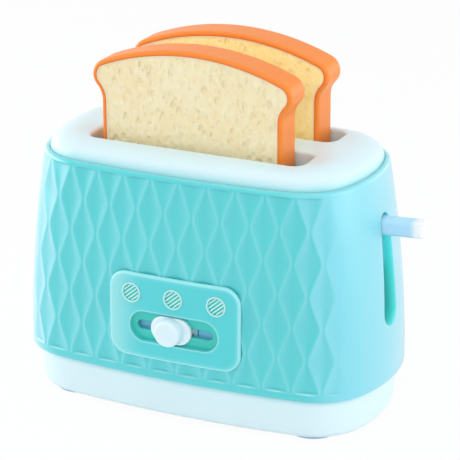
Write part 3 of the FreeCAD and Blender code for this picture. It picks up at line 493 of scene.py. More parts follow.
def ridge(j, z):
    """Length along the side of ridge line j: even lines that swing by turns, so that they pinch in
    pairs."""
    middle, pair = pitch(z)
    turn = 2 * math.pi * (RELIEF_HIGH - z) / WAVE_PERIOD
    swing = WAVE * (WAVE_SHARES[0] * np.cos(turn) + WAVE_SHARES[1] * np.cos(3 * turn))
    return middle + (2 * j + 1) * pair / 4 - np.where(np.mod(j, 2) == 0, 1, -1) * swing


def relief(run, z, facing):
    """Depth of the scoops: a parabola between two ridges, as deep as the cell is wide, fading as the
    surface turns to the end. Also gives how near a crest the point is, the mask of a painted highlight
    along the crests, and the ledges' painted light and shade."""
    middle, pair = pitch(z)
    guess = np.floor(((run - middle) / pair * 4 - 1) / 2)
    cell = guess
    for step in (-1, 0, 1):
        inside = (run >= ridge(guess + step, z)) & (run < ridge(guess + step + 1, z))
        cell = np.where(inside, guess + step, cell)
    low, high = ridge(cell, z), ridge(cell + 1, z)
    width = np.maximum(high - low, NARROWEST_CELL)
    near = np.clip(np.minimum(run - low, high - run), 0, None)
    soft = np.sqrt(near ** 2 + CREST_SOFT ** 2) - CREST_SOFT
    t = np.clip(soft / width, 0, 0.5)
    widest = PITCH_HIGH / 2 + 2 * WAVE
    strength = np.interp(facing, FACING, FACING_STRENGTH)
    scoop = width / widest * 4 * t * (1 - t) * strength
    band = np.interp(z, [RELIEF_LOW, RELIEF_LOW + RELIEF_STEP, RELIEF_HIGH - RELIEF_FADE, RELIEF_HIGH],
                     [0, 1, 1, 0])
    crest = np.exp(-(near / CREST_REACH) ** 2) * band * strength
    return RELIEF_DEPTH * scoop * band, crest, scoop * np.interp(z, LEDGE_Z, LEDGE_LIGHT)


def slot_form(z):
    """Middle and radius of the lever's slot at height z; it widens downwards on its front side."""
    high_centre = SLOT_HIGH - SLOT_RADIUS
    low_radius = SLOT_RADIUS + SLOT_FLARE / 2
    low_centre = SLOT_LOW + low_radius
    share = np.clip((high_centre - z) / (high_centre - low_centre), 0, 1)
    return -SLOT_FLARE / 2 * share, SLOT_RADIUS + SLOT_FLARE / 2 * share


def sleeve_columns(z, grow):
    """Lengths along the long side and Y across the two ends, at each height. Columns follow the ridges on
    the long sides and the slot's outline, grown, on the lever end."""
    cy, touch, reach = side_arcs(z)[2:]
    bend = math.radians(BEND_LIMIT)
    limit = reach + CORNER * (bend - touch)
    y_lim = cy + CORNER * math.cos(bend)
    cells = np.arange(*RIDGES)
    j = np.repeat(cells, len(CELL_SHARES))[None, :]
    share = np.tile(CELL_SHARES, len(cells))
    aligned = ridge(j, z) * (1 - share) + ridge(j + 1, z) * share
    aligned = np.concatenate([aligned, ridge(np.array([[RIDGES[1]]]), z)], axis=1)
    over = np.clip(np.abs(aligned) - FREE_LENGTH, 0, None)
    ends = np.abs(aligned[:, [0, -1]]) - FREE_LENGTH
    room = np.minimum(1.0, (limit - CORNER_ROOM - FREE_LENGTH) / ends)
    side = np.where(aligned < 0, room[:, :1], room[:, 1:])
    aligned = np.where(over > 0, np.sign(aligned) * (FREE_LENGTH + over * side), aligned)
    out = np.array([CORNER_SHARES])
    front = np.concatenate([aligned[:, :1] - out[:, ::-1] * (limit + aligned[:, :1]), aligned,
                            aligned[:, -1:] + out * (limit - aligned[:, -1:])], axis=1)

    part = np.linspace(0, 1, END_COLUMNS + 1)[None, 1:]
    sweep = -np.cos(np.linspace(0, math.pi, END_COLUMNS + 1))[None, 1:]
    middle, radius = slot_form(z)
    near = middle - radius - grow
    far = middle + radius + grow
    y_right = np.concatenate([-y_lim + part * (y_lim + near), middle + (radius + grow) * sweep,
                              far + part[:, :-1] * (y_lim - far)], axis=1)
    y_left = y_lim - np.linspace(0, 1, 2 * END_COLUMNS + 1)[None, 1:-1] * 2 * y_lim
    return front, y_right, y_left


def cut_hole(index, solid, mirror, rows, columns):
    """Leaves out the quads between two rows and two columns of the outer wall and of the same rows of the
    inner wall. Gives the loop of points round each hole: down its left side, along the bottom, up its
    right side and back along the top."""
    low, high = rows
    left, right = columns
    solid[low:high, left:right] = False
    solid[mirror[high]:mirror[low], left:right] = False
    down, up = np.arange(high, low, -1), np.arange(low, high)
    there, back = np.arange(left, right), np.arange(right, left, -1)
    return [np.concatenate([index[wall[down], left], index[wall[low], there],
                            index[wall[up], right], index[wall[high], back]])
            for wall in (np.arange(len(mirror)), mirror)]


def slot_rings(base):
    """Rings of points from the slot's outline in the outer wall, inwards: the round lip, then the deep
    collar. Each is the outline's arcs and straights moved out by a length."""
    centre_z = np.clip(base[:, 2], SLOT_LOW + SLOT_RADIUS + SLOT_FLARE / 2, SLOT_HIGH - SLOT_RADIUS)
    centre_y, radius = slot_form(centre_z)
    away = np.stack([base[:, 1] - centre_y, base[:, 2] - centre_z], -1)
    away /= np.linalg.norm(away, axis=1, keepdims=True)

    def outline(grow):
        return centre_y + away[:, 0] * (radius + grow), centre_z + away[:, 1] * (radius + grow)

    rings = []
    for angle in np.radians(LIP_ANGLES):
        y, z = outline(SLOT_LIP * (1 - math.sin(angle)))
        rings.append(np.stack([on_end(y, z)[0] - SLOT_LIP * (1 - math.cos(angle)), y, z], -1))
    for grow in (0.0, COLLAR_WALL):
        y, z = outline(grow)
        rings.append(np.stack([np.full(len(base), COLLAR_X), y, z], -1))
    return rings


def build_sleeve(material):
    """Closed shell. Rows run up the outside, over the rounded rim, down the inside and under the bottom
    edge; columns run round the plan. The panel's hole and the lever's slot are left out and walled. Inside
    the front the wall is thinner along the pocket in which the slide plate runs."""
    low_centre = SLOT_LOW + SLOT_RADIUS + SLOT_FLARE / 2
    high_centre = SLOT_HIGH - SLOT_RADIUS
    rim_z = SLEEVE_HIGH - RIM_ROUND
    outer = np.concatenate([[SLEEVE_LOW + FOOT_ROUND], LOW_LEDGE_ROWS,
                            np.linspace(EVEN_ROWS_Z[0], low_centre, ROWS_TO_SLOT),
                            np.linspace(low_centre, high_centre, ROWS_ALONG_SLOT)[1:],
                            np.linspace(high_centre, EVEN_ROWS_Z[1], ROWS_PAST_SLOT)[1:],
                            HIGH_LEDGE_ROWS, [RELIEF_HIGH, rim_z]])
    count = len(outer)
    rim = len(RIM_ANGLES)
    angles = np.radians(RIM_ANGLES)
    z = np.concatenate([outer, rim_z + RIM_ROUND * np.sin(angles), [SLEEVE_HIGH], outer[::-1],
                        [SLEEVE_LOW, SLEEVE_LOW, SLEEVE_LOW + FOOT_BEND]])
    inset = np.concatenate([np.zeros(count), RIM_ROUND * (1 - np.cos(angles)), np.full(count + 2, WALL),
                            [FOOT_ROUND, FOOT_BEND]])[:, None]
    rows = z[:, None]
    order = np.arange(len(z))[:, None]
    is_outer = order < count
    grow = np.where(order < count + rim, SLOT_LIP, COLLAR_WALL)
    inner = slice(count + rim, 2 * count + rim + 1)
    form_z = np.minimum(rows, rim_z)
    form_z[inner] = rows[inner]
    front, y_right, y_left = sleeve_columns(form_z, grow)

    x_f, y_f, nx_f, ny_f = on_side(front, form_z)
    slot_middle, slot_r = slot_form(form_z)
    slot_r = slot_r + grow
    lift = slot_r * np.sqrt(np.clip(1 - ((y_right - slot_middle) / slot_r) ** 2, 0, None))
    below = 1 - smoothstep(0, BLEND_BELOW_SLOT, low_centre - rows)
    above = 1 - smoothstep(0, BLEND_ABOVE_SLOT, rows - high_centre)
    shift = np.where(rows <= low_centre, -lift * below, np.where(rows >= high_centre, lift * above, 0))
    z_right = rows + shift
    x_r, nx_r, ny_r = on_end(y_right, np.minimum(np.where(is_outer, z_right, form_z), SLEEVE_HIGH))
    x_l, nx_l, ny_l = on_end(y_left, form_z)

    depth, crest, ledge = (np.where(is_outer, a, 0) for a in relief(front, rows, ny_f))
    sunk = inset + depth
    tall = np.broadcast_to(rows, front.shape)
    front_p = np.stack([x_f - nx_f * sunk, -(y_f - ny_f * sunk), tall], -1)
    pocket = ((np.abs(x_f - PANEL_X) < POCKET_HALF_LENGTH)
              & (np.abs(rows - SLIDER_Z) < POCKET_HALF_HEIGHT) & ~is_outer)
    front_p[..., 1] = np.where(pocket, np.minimum(front_p[..., 1], -POCKET_FACE), front_p[..., 1])
    right_p = np.stack([x_r - nx_r * inset, y_right - ny_r * inset, z_right], -1)
    back_p = np.stack([x_f - nx_f * sunk, y_f - ny_f * sunk, tall], -1)[:, ::-1]
    left_p = np.stack([-(x_l - nx_l * inset), y_left - ny_l * inset,
                       np.broadcast_to(rows, y_left.shape)], -1)
    grid = np.concatenate([front_p, right_p, back_p, left_p], axis=1)
    quads = grid_quads(*grid.shape[:2])
    index = quads[..., 0]
    solid = np.ones(index.shape, bool)
    mirror = 2 * count + rim - np.arange(count)

    # hole behind the control panel, through both walls
    hole_rows = np.where((outer > PANEL_HOLE_Z[0]) & (outer < PANEL_HOLE_Z[1]))[0][[0, -1]]
    hole_columns = np.where(np.abs(x_f[0] - PANEL_X) < PANEL_HOLE_HALF_LENGTH)[0][[0, -1]]
    walls = [bridge(*cut_hole(index, solid, mirror, hole_rows, hole_columns))]

    # lever slot: round lip, deep collar, back to the inner wall
    slot_rows = [np.argmin(np.abs(outer - centre)) for centre in (low_centre, high_centre)]
    slot_columns = front.shape[1] + END_COLUMNS - 1 + np.array([0, END_COLUMNS])
    outer_slot, inner_slot = cut_hole(index, solid, mirror, slot_rows, slot_columns)
    flat = grid.reshape(-1, 3)
    rings = slot_rings(flat[outer_slot])
    starts = len(flat) + len(outer_slot) * np.arange(len(rings))
    loops = [outer_slot] + [start + np.arange(len(outer_slot)) for start in starts] + [inner_slot]
    walls += [bridge(first, second) for first, second in zip(loops, loops[1:])]

    points = np.concatenate([flat] + rings)
    used, faces = np.unique(np.concatenate([quads[solid]] + walls), return_inverse=True)
    sleeve = make_piece("sleeve", points[used], faces.reshape(-1, 4).tolist(), "housing",
                        material, ("body_shell",))
    # point masks for painted colour: painted light and glow in the throat, a painted highlight on the
    # crests, painted light and shade on the ledges
    masks = {"throat": np.zeros(len(points))}
    masks["throat"][starts[2]:] = 1.0
    for label, side in (("crest", crest), ("ledge", ledge)):
        all_round = np.concatenate([side, np.zeros(y_right.shape), side[:, ::-1],
                                    np.zeros(y_left.shape)], axis=1)
        masks[label] = np.concatenate([all_round.ravel(), np.zeros(len(points) - len(flat))])
    for label, value in masks.items():
        mask = sleeve.data.attributes.new(label, "FLOAT", "POINT")
        mask.data.foreach_set("value", value[used].astype(np.float32))


# ================= bead between crust and bread, springs =================

def arc_points(x, z, radius, start, stop, count):
    """Points on an arc, and outward directions, as rows of (x, z, dx, dz); angles in radians."""
    angle = np.linspace(start, stop, count)
    side = np.sign(radius)
    return np.stack([x + abs(radius) * np.cos(angle), z + abs(radius) * np.sin(angle),
                     side * np.cos(angle), side * np.sin(angle)], -1)


def slice_outline(inset):
    """Closed outline of a slice, moved in: foot corners, waist, shoulders and arched top, one half
    mirrored."""
    neck = TOAST_NECK - inset
    low = TOAST_LOW + inset
    foot = TOAST_FOOT_RADIUS - inset
    arch_z = TOAST_HIGH - TOAST_ARCH_RADIUS
    shoulder_x = TOAST_SHOULDER - TOAST_SHOULDER_RADIUS
    shoulder_z = arch_z + math.sqrt((TOAST_ARCH_RADIUS - TOAST_SHOULDER_RADIUS) ** 2 - shoulder_x ** 2)
    neck_r = TOAST_NECK_RADIUS + inset
    neck_x = neck + neck_r
    reach = TOAST_NECK_RADIUS + TOAST_SHOULDER_RADIUS
    neck_z = shoulder_z - math.sqrt(reach ** 2 - (neck_x - shoulder_x) ** 2)
    waist = math.atan2(shoulder_z - neck_z, shoulder_x - neck_x)
    top = math.atan2(shoulder_z - arch_z, shoulder_x)
    shoulder_r = TOAST_SHOULDER_RADIUS - inset
    half = np.concatenate([
        arc_points(neck - foot, low + foot, foot, -math.pi / 2, 0.0, FOOT_STEPS),
        arc_points(neck_x, neck_z, -neck_r, math.pi, waist, NECK_STEPS),
        arc_points(shoulder_x, shoulder_z, shoulder_r, waist - math.pi, top, SHOULDER_STEPS)[1:],
        arc_points(0.0, arch_z, TOAST_ARCH_RADIUS - inset, top, math.pi / 2, ARCH_STEPS)[1:]])
    other = half[-2::-1] * np.array([-1, 1, -1, 1])
    return np.concatenate([half, other])


def build_beads(material, place):
    """Round bead along the inside of the crust on both faces of a slice: the outline swept by a small
    circle, point = outline + r cos(a) outward + r sin(a) across."""
    path = slice_outline(CRUST_WIDTH + BEAD_INSET)
    around = circle_angles(ROUND_SIDES)[None, :]
    swing = BEAD_RADIUS * np.cos(around)
    x = TOAST_SHIFT_X[place] + path[:, :1] + path[:, 2:3] * swing
    z = path[:, 1:2] + path[:, 3:4] * swing
    quads = grid_quads(*x.shape).reshape(-1, 4)
    points = []
    for side in (-1, 1):
        middle = TOAST_MIDDLE_Y[place] + side * (BREAD_FACE - BEAD_SINK)
        y = np.broadcast_to(middle + BEAD_RADIUS * np.sin(around), x.shape)
        points.append(np.stack([x, y, z], -1).reshape(-1, 3))
    faces = np.concatenate([quads, quads + x.size]).tolist()
    make_piece("crust_bead_" + place, np.concatenate(points), faces, "toast_" + place,
               material)


def build_spring(material, place):
    """Compression spring on a guide rod: point = middle + coil radius outward at angle a, rising evenly
    with a, plus the wire's circle across the run. On the toy it is squashed towards its foot as the
    carriage comes down; here it is built at one length."""
    a = np.linspace(0, 2 * math.pi * SPRING_TURNS, int(SPRING_TURNS * TURN_STEPS) + 1)
    zero = np.zeros(a.size)
    out = np.stack([np.cos(a), np.sin(a), zero], -1)
    rise = SPRING_HIGH - SPRING_LOW - 2 * SPRING_WIRE
    run = np.stack([-np.sin(a) * SPRING_COIL, np.cos(a) * SPRING_COIL, zero + rise / a[-1]], -1)
    run /= np.linalg.norm(run, axis=1)[:, None]
    over = np.cross(out, run)
    middle = np.array([*SPRING_PLACE[place], SPRING_LOW + SPRING_WIRE])
    line = middle + out * SPRING_COIL + np.stack([zero, zero, rise * a / a[-1]], -1)
    around = circle_angles(ROUND_SIDES)[None, :, None]
    points = line[:, None, :] + SPRING_WIRE * (np.cos(around) * out[:, None, :]
                                               + np.sin(around) * over[:, None, :])
    quads = grid_quads(*points.shape[:2])
    index = quads[..., 0]
    faces = (quads[:-1, :, [0, 3, 2, 1]].reshape(-1, 4).tolist()
             + [index[0].tolist(), index[-1][::-1].tolist()])
    piece = make_piece("spring_" + place, points.reshape(-1, 3), faces, "housing", material,
                       replaces=("return_spring_" + place,))
    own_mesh(piece)


# ================= shader groups =================

FLOAT, VECTOR, COLOR = ("NodeSocket" + kind for kind in ("Float", "Vector", "Color"))
MASK = {"Mask": FLOAT}


def new_group(name, inputs, outputs):
    """Shader group with inputs, each a kind and a first value, and outputs, each a kind; also gives the
    links that come in."""
    group = bpy.data.node_groups.new(name, "ShaderNodeTree")
    for label, (kind, value) in inputs.items():
        socket = group.interface.new_socket(name=label, in_out="INPUT", socket_type=kind)
        socket.default_value = value
    for label, kind in outputs.items():
        group.interface.new_socket(name=label, in_out="OUTPUT", socket_type=kind)
    return group, group.nodes.new("NodeGroupInput").outputs


def put_out(group, values):
    """Links the values to the group's outputs and gives the group."""
    fill(group, group.nodes.new("NodeGroupOutput"), values)
    return group


def swing_about(tree, middle, pattern, swing):
    """Middle value that a pattern from 0 to 1 moves down and up by a swing."""
    off = math_node(tree, "SUBTRACT", pattern, 0.5)
    return math_node(tree, "ADD", middle,
                     math_node(tree, "MULTIPLY", off, math_node(tree, "MULTIPLY", swing, 2.0)))


def moulded_group():
    """Moulded plastic: a slow drift of tone, fine grain, and roughness that varies in soft patches."""
    group, into = new_group("moulded_plastic",
                            {"Color": (COLOR, (0.8, 0.8, 0.8, 1)), "Drift": (FLOAT, 0.04),
                             "Roughness": (FLOAT, 0.35), "Patches": (FLOAT, 0.08), "Grain": (FLOAT, 0.3)},
                            {"Color": COLOR, "Roughness": FLOAT, "Height": FLOAT})
    place = object_place(group)
    value = swing_about(group, 1.0, noise(group, place, TONE_NOISE, 2.0), into["Drift"])
    tone = add_node(group, "HueSaturation", {"Color": into["Color"], "Value": value})
    rough = swing_about(group, into["Roughness"], noise(group, place, GLOSS_NOISE, 3.0), into["Patches"])
    grain = math_node(group, "MULTIPLY", noise(group, place, GRAIN_NOISE, 2.0, 0.6), into["Grain"])
    wave = math_node(group, "MULTIPLY", noise(group, place, WAVE_NOISE, 1.0), WAVE_HEIGHT)
    return put_out(group, {"Color": tone.outputs[0], "Roughness": rough,
                           "Height": math_node(group, "ADD", grain, wave)})


def edge_group():
    """Normal softened over a small radius, so that no edge is knife sharp."""
    group, into = new_group("soft_edges", {"Radius": (FLOAT, EDGE_ROUND)}, {"Normal": VECTOR})
    bevel = add_node(group, "Bevel", {"Radius": into["Radius"]}, samples=EDGE_SAMPLES)
    return put_out(group, {"Normal": bevel.outputs[0]})


def nearness_group():
    """Two masks: hollow, 1 deep in grooves and corners, and rim, 1 on outer edges, each within its own
    reach. Hollow carries painted shade; rim carries painted highlights, and painted shade on the crust."""
    group, into = new_group("hollow_and_rim",
                            {"Hollow reach": (FLOAT, 0.002), "Rim reach": (FLOAT, RIM_REACH)},
                            {"Hollow": FLOAT, "Rim": FLOAT})
    masks = {}
    for label, inside, start, full in NEARNESS:
        openness = add_node(group, "AmbientOcclusion", {"Distance": into[label + " reach"]},
                            samples=NEARNESS_SAMPLES, inside=inside, only_local=inside)
        masks[label] = mask_between(group, openness.outputs["AO"], start, full)
    return put_out(group, masks)


def along_group():
    """Mask that rises from 0 to 1 between two places along the X axis."""
    group, into = new_group("along_x", {"From": (FLOAT, 0.0), "To": (FLOAT, 1.0)}, MASK)
    x = axis_of(group, object_place(group), "X")
    return put_out(group, {"Mask": mask_between(group, x, into["From"], into["To"], "SMOOTHSTEP")})


def turned_group():
    """How far the surface turns towards either end, from its own normal: 0 facing front, 1 facing an
    end."""
    group, into = new_group("turned_to_end", {"From": (FLOAT, 0.1), "To": (FLOAT, 0.8)}, MASK)
    normal = add_node(group, "TexCoord").outputs["Normal"]
    turn = math_node(group, "ABSOLUTE", axis_of(group, normal, "X"))
    return put_out(group, {"Mask": mask_between(group, turn, into["From"], into["To"], "SMOOTHSTEP")})


def seam_group():
    """Mask that fades with height, from 1 at one level to 0 at another, left off inside a middle
    rectangle."""
    group, into = new_group("shade_along_seam",
                            {"From": (FLOAT, 0.0), "To": (FLOAT, 0.001),
                             "Middle": (VECTOR, (0.0, 0.0, 0.0)),
                             "Middle half size": (VECTOR, (0.001, 0.001, 1.0))}, MASK)
    place = object_place(group)
    fade = mask_between(group, axis_of(group, place, "Z"), into["From"], into["To"], "SMOOTHSTEP",
                        ends=(1.0, 0.0))
    off = vector_math(group, "SUBTRACT", place, into["Middle"])
    share = vector_math(group, "ABSOLUTE", vector_math(group, "DIVIDE", off, into["Middle half size"]))
    farther = math_node(group, "MAXIMUM", axis_of(group, share, "X"), axis_of(group, share, "Y"))
    outside = mask_between(group, farther, *WELLS_EDGE)
    return put_out(group, {"Mask": math_node(group, "MULTIPLY", fade, outside)})


def bars_group():
    """Mask of slanting bars: 1 on a bar, 0 in the groove beside it, from the distance across the slant."""
    group, into = new_group("slanting_bars", {"Centre": (VECTOR, (0.0, 0.0, 0.0))}, MASK)
    slant = math.radians(ICON_BAR_ANGLE)
    off = vector_math(group, "SUBTRACT", object_place(group), into["Centre"])
    across = vector_math(group, "DOT_PRODUCT", off, (-math.sin(slant), 0.0, math.cos(slant)))
    step = math_node(group, "DIVIDE", across, ICON_BAR_PITCH * MM)
    nearest = math_node(group, "ROUND", step)
    away = math_node(group, "ABSOLUTE", math_node(group, "SUBTRACT", step, nearest))
    half = ICON_BAR_WIDTH / ICON_BAR_PITCH / 2
    return put_out(group, {"Mask": mask_between(group, away, half + ICON_BAR_SOFT, half - ICON_BAR_SOFT)})


def inset_group():
    """How far inside a rounded rectangle a point of the front lies, in metres, negative outside: the
    radius less the length of the part of |p - centre| that is beyond the straight sides."""
    group, into = new_group("inset_in_outline",
                            {"Centre": (VECTOR, (0.0, 0.0, 0.0)), "Half size": (VECTOR, (1.0, 0.0, 1.0)),
                             "Radius": (FLOAT, 0.001)}, {"Inset": FLOAT})
    off = vector_math(group, "SUBTRACT", object_place(group), into["Centre"])
    flat = vector_math(group, "ABSOLUTE", vector_math(group, "MULTIPLY", off, (1.0, 0.0, 1.0)))
    corner = add_node(group, "CombineXYZ", {"X": into["Radius"], "Z": into["Radius"]}).outputs[0]
    straight = vector_math(group, "SUBTRACT", into["Half size"], corner)
    beyond = vector_math(group, "MAXIMUM", vector_math(group, "SUBTRACT", flat, straight))
    length = vector_math(group, "LENGTH", beyond)
    return put_out(group, {"Inset": math_node(group, "SUBTRACT", into["Radius"], length)})


GROUPS = {"moulded": moulded_group(), "edge": edge_group(), "nearness": nearness_group(),
          "along": along_group(), "inset": inset_group(), "turned": turned_group(), "bars": bars_group(),
          "seam": seam_group()}


def use_group(tree, key, inputs=None):
    """Outputs of a shader group that is placed in a tree with its own values."""
    return add_node(tree, "Group", inputs, node_tree=GROUPS[key]).outputs


# ================= masks and colours that a plastic can take =================
# Each gives a function that makes its nodes in a material's tree.

def by_attribute(label, low, high):
    """Where an attribute of the sleeve goes from low to high."""
    return lambda tree: mask_between(tree, attribute(tree, label), low, high)


def along_x(low, high):
    """Beyond a place on the X axis, rising from low to high in metres."""
    return lambda tree: use_group(tree, "along", {"From": low, "To": high})["Mask"]


def turned_to_end(low, high):
    """Where the surface turns to the ends; it carries a painted pale sheen."""
    return lambda tree: use_group(tree, "turned", {"From": low, "To": high})["Mask"]


def on_rims(reach=RIM_REACH):
    """On outer edges; it carries painted highlights, and painted shade on the crust."""
    return lambda tree: use_group(tree, "nearness", {"Rim reach": reach})["Rim"]


def in_hollows(reach):
    """In grooves and corners, for painted shade."""
    return lambda tree: use_group(tree, "nearness", {"Hollow reach": reach})["Hollow"]


def by_seam(full, gone):
    """At the seam with the next moulding, from full at one level to gone at another, but not at the
    bread's wells. It carries the sleeve's painted teal reflection on the cover and its painted shadow on
    the plinth."""
    values = {"From": full * MM, "To": gone * MM, "Middle": (PANEL_X * MM + SHIFT[0], SHIFT[1], 0.0),
              "Middle half size": (WELLS_HALF_X * MM, WELLS_HALF_Y * MM, 1.0)}
    return lambda tree: use_group(tree, "seam", values)["Mask"]


def on_front(x, z):
    """Place on the front, in the shared frame."""
    return (x * MM + SHIFT[0], 0.0, z * MM)


def band_inside(outline, places):
    """Band along an outline on the front, by straight lines through (distance inside, mask) pairs. The
    outline is its middle x and z, half sizes and corner radius."""
    x, z, half_x, half_z, corner = outline
    low, high = places[0][0], places[-1][0]

    def mask(tree):
        inset = use_group(tree, "inset", {"Centre": on_front(x, z), "Radius": corner * MM,
                                          "Half size": (half_x * MM, 0.0, half_z * MM)})["Inset"]
        ramp = add_node(tree, "FloatCurve", {"Value": mask_between(tree, inset, low * MM, high * MM)})
        curve = ramp.mapping.curves[0]
        while len(curve.points) < len(places):
            curve.points.new(0.5, 0.5)
        for point, (at, height) in zip(curve.points, places):
            point.location = ((at - low) / (high - low), height)
            point.handle_type = "VECTOR"
        ramp.mapping.update()
        return ramp.outputs[0]

    return mask


def barred(x, z, groove, bar):
    """Colour of an icon's disc: a painted highlight on the slanting bars and painted shade in the grooves
    between them.
    """
    return lambda tree: mix_color(tree, use_group(tree, "bars", {"Centre": on_front(x, z)})["Mask"],
                                  linear(groove), linear(bar))


# ================= materials =================

def linear(code):
    """Linear colour of an sRGB hex code."""
    values = [int(code[i:i + 2], 16) / 255 for i in (1, 3, 5)]
    return tuple(v / 12.92 if v <= 0.04045 else ((v + 0.055) / 1.055) ** 2.4 for v in values) + (1.0,)


def start_material(name):
    """New material, with its tree and its shader."""
    material = bpy.data.materials.new(name)
    material.use_nodes = True
    return material, material.node_tree, material.node_tree.nodes["Principled BSDF"]


def plastic(name, color, rough, tints=(), grain=0.3, bump=0.15, glow=0.0, radius=(0.004, 0.004, 0.004),
            sheen=0.0, coat=0.0, ior=1.5, painted_glow=None):
    """Moulded plastic with grain, patchy gloss and softened edges. Tints are laid over each other: each is
    a mask, how much of it counts and a colour; most are painted highlights and painted shade. The last
    argument paints a glow: an attribute, a colour and a strength, for emission where the attribute is."""
    material, tree, shader = start_material(name)
    skin = use_group(tree, "moulded", {"Color": linear(color), "Drift": TONE_DRIFT, "Roughness": rough,
                                       "Patches": GLOSS_PATCHES, "Grain": grain})
    shade = skin["Color"]
    for mask, amount, tint in tints:
        over = tint(tree) if callable(tint) else linear(tint)
        shade = mix_color(tree, math_node(tree, "MULTIPLY", mask(tree), amount), shade, over)
    normal = bump_node(tree, skin["Height"], bump, GRAIN_DEPTH, Normal=use_group(tree, "edge")["Normal"])
    fill(tree, shader, {"Base Color": shade, "Roughness": skin["Roughness"], "Normal": normal, "IOR": ior,
                        "Subsurface Weight": glow, "Subsurface Radius": radius, "Subsurface Scale": 1.0,
                        "Coat Weight": coat, "Coat Roughness": COAT_ROUGHNESS, "Sheen Weight": sheen,
                        "Sheen Tint": SHEEN_TINT, "Sheen Roughness": SHEEN_ROUGHNESS})
    if painted_glow:
        label, light, strength = painted_glow
        light = mix_color(tree, attribute(tree, label), BLACK, linear(light))
        fill(tree, shader, {"Emission Color": light, "Emission Strength": strength})
    return material


def bread(name, color, pit_shade_color, highlight_color, painted_glow=0.0):
    """Moulded crumb: soft upright dimples every few millimetres, some deeper, with painted shade in the
    pits and a painted highlight on the high places."""
    material, tree, shader = start_material(name)
    place = object_place(tree)
    upright = add_node(tree, "Mapping", {"Vector": place, "Scale": CRUMB_STRETCH}).outputs[0]
    pits = 0.0
    for scale, start, full, share in CRUMB_PITS:
        cells = add_node(tree, "TexVoronoi", {"Vector": upright, "Scale": scale})
        pit = mask_between(tree, cells.outputs["Distance"], start, full, "SMOOTHSTEP")
        deep = math_node(tree, "MULTIPLY", noise(tree, place, scale * 0.8, 1.0), share)
        pits = math_node(tree, "ADD", pits, math_node(tree, "MULTIPLY", pit, deep))
    broad = noise(tree, place, CRUMB_BROAD, 2.0)
    fine = noise(tree, place, CRUMB_FINE, 3.0, 0.6)
    soft = noise(tree, upright, CRUMB_SOFT, 1.0, 0.4)
    rise = math_node(tree, "ADD", math_node(tree, "MULTIPLY", fine, CRUMB_FINE_HEIGHT),
                     math_node(tree, "MULTIPLY", soft, CRUMB_SOFT_HEIGHT))
    both = math_node(tree, "MULTIPLY", math_node(tree, "ADD", broad, soft), 0.5)
    rough = math_node(tree, "ADD", CRUMB_ROUGH, math_node(tree, "MULTIPLY", fine, CRUMB_ROUGH_SWING))
    normal = bump_node(tree, math_node(tree, "SUBTRACT", rise, pits), 1.0, CRUMB_DEPTH)
    shade = mix_color(tree, mask_between(tree, both, *CRUMB_HIGHLIGHT), linear(color), linear(highlight_color))
    shade = mix_color(tree, math_node(tree, "MULTIPLY", pits, CRUMB_PIT_SHADE), shade, linear(pit_shade_color))
    # the emission is a painted glow, of the strength given
    fill(tree, shader, {"Base Color": shade, "Roughness": rough, "Normal": normal,
                        "Emission Color": linear(CRUMB_LIGHT), "Emission Strength": painted_glow,
                        "Subsurface Weight": CRUMB_GLOW, "Subsurface Radius": (0.003, 0.002, 0.001),
                        "Subsurface Scale": 1.0})
    return material


def metal(name, color, rough, fine=600.0):
    """Plated or drawn steel with fine scratches that vary the gloss."""
    material, tree, shader = start_material(name)
    scratch = noise(tree, object_place(tree), fine, 4.0, 0.7)
    gloss = math_node(tree, "ADD", rough, math_node(tree, "MULTIPLY", scratch, SCRATCH_ROUGH_SWING))
    fill(tree, shader, {"Base Color": mix_color(tree, scratch, linear(color), SCRATCH_COLOR),
                        "Roughness": gloss,
                        "Metallic": 1.0, "Normal": bump_node(tree, scratch, SCRATCH_BUMP, SCRATCH_DEPTH)})
    return material


def dress(material, *names):
    """Gives solids' nodes their material."""
    for name in names:
        mesh = nodes[name].data
        mesh.materials.clear()
        mesh.materials.append(material)


add_camera()
light_the_studio()
add_floor()

# ---- sleeve and panel ----
turquoise = plastic("sleeve_turquoise", "#38D2D6", 0.34, coat=1.0, ior=1.6, sheen=0.8, glow=0.2,
                    # painted glow in the slot's throat, for light passing through its thin walls
                    painted_glow=("throat", "#20CCC4", 0.16),
                    # painted highlight along the ridge crests
                    tints=((by_attribute("crest", 0.0, 1.0), 0.3, "#A6ECF2"),
                           # painted light on the ledges that face up, painted shade on the ledges that
                           # face down
                           (by_attribute("ledge", 0.0, 1.0), 0.5, "#C0F6FA"),
                           (by_attribute("ledge", 0.0, -1.0), 0.6, "#18A8B4"),
                           # painted light in the slot's throat
                           (by_attribute("throat", 0.0, 1.0), 1.0, "#60F4EC"),
                           # painted pale sheen where the surface turns to the ends
                           (turned_to_end(0.1, 0.75), 0.6, "#96E0F4"),
                           # painted shade in hollows and corners
                           (in_hollows(0.0015), 0.5, "#14C8C4")))

PANEL = (PANEL_X, 52.0, 33.0, 20.4, 8.5)
TRAY = (PANEL_X, SLIDER_Z, 22.1, 7.2, 7.2)
# outlines of the painted light and the painted shadow on the slide plate, beside the knob's foot
PLATE_PAINTED_LIGHT = (10.2, SLIDER_Z, 1.0, 2.0, 0.3)
PLATE_PAINTED_SHADOW = (11.5, SLIDER_Z, 0.3, 2.2, 0.2)
ICON_XS = [PANEL_X + side * ICON_SPACING for side in (-1, 0, 1)]
RING_BAND = ((-0.15, 0.0), (0.0, 0.9), (0.7, 0.9), (0.9, 0.0))
DISC_BAND = ((-0.05, 0.0), (0.05, 1.0), (ICON_DISC, 1.0))
LINE_BAND = ((-0.1, 0.0), (0.1, 1.0), (3.0, 1.0))
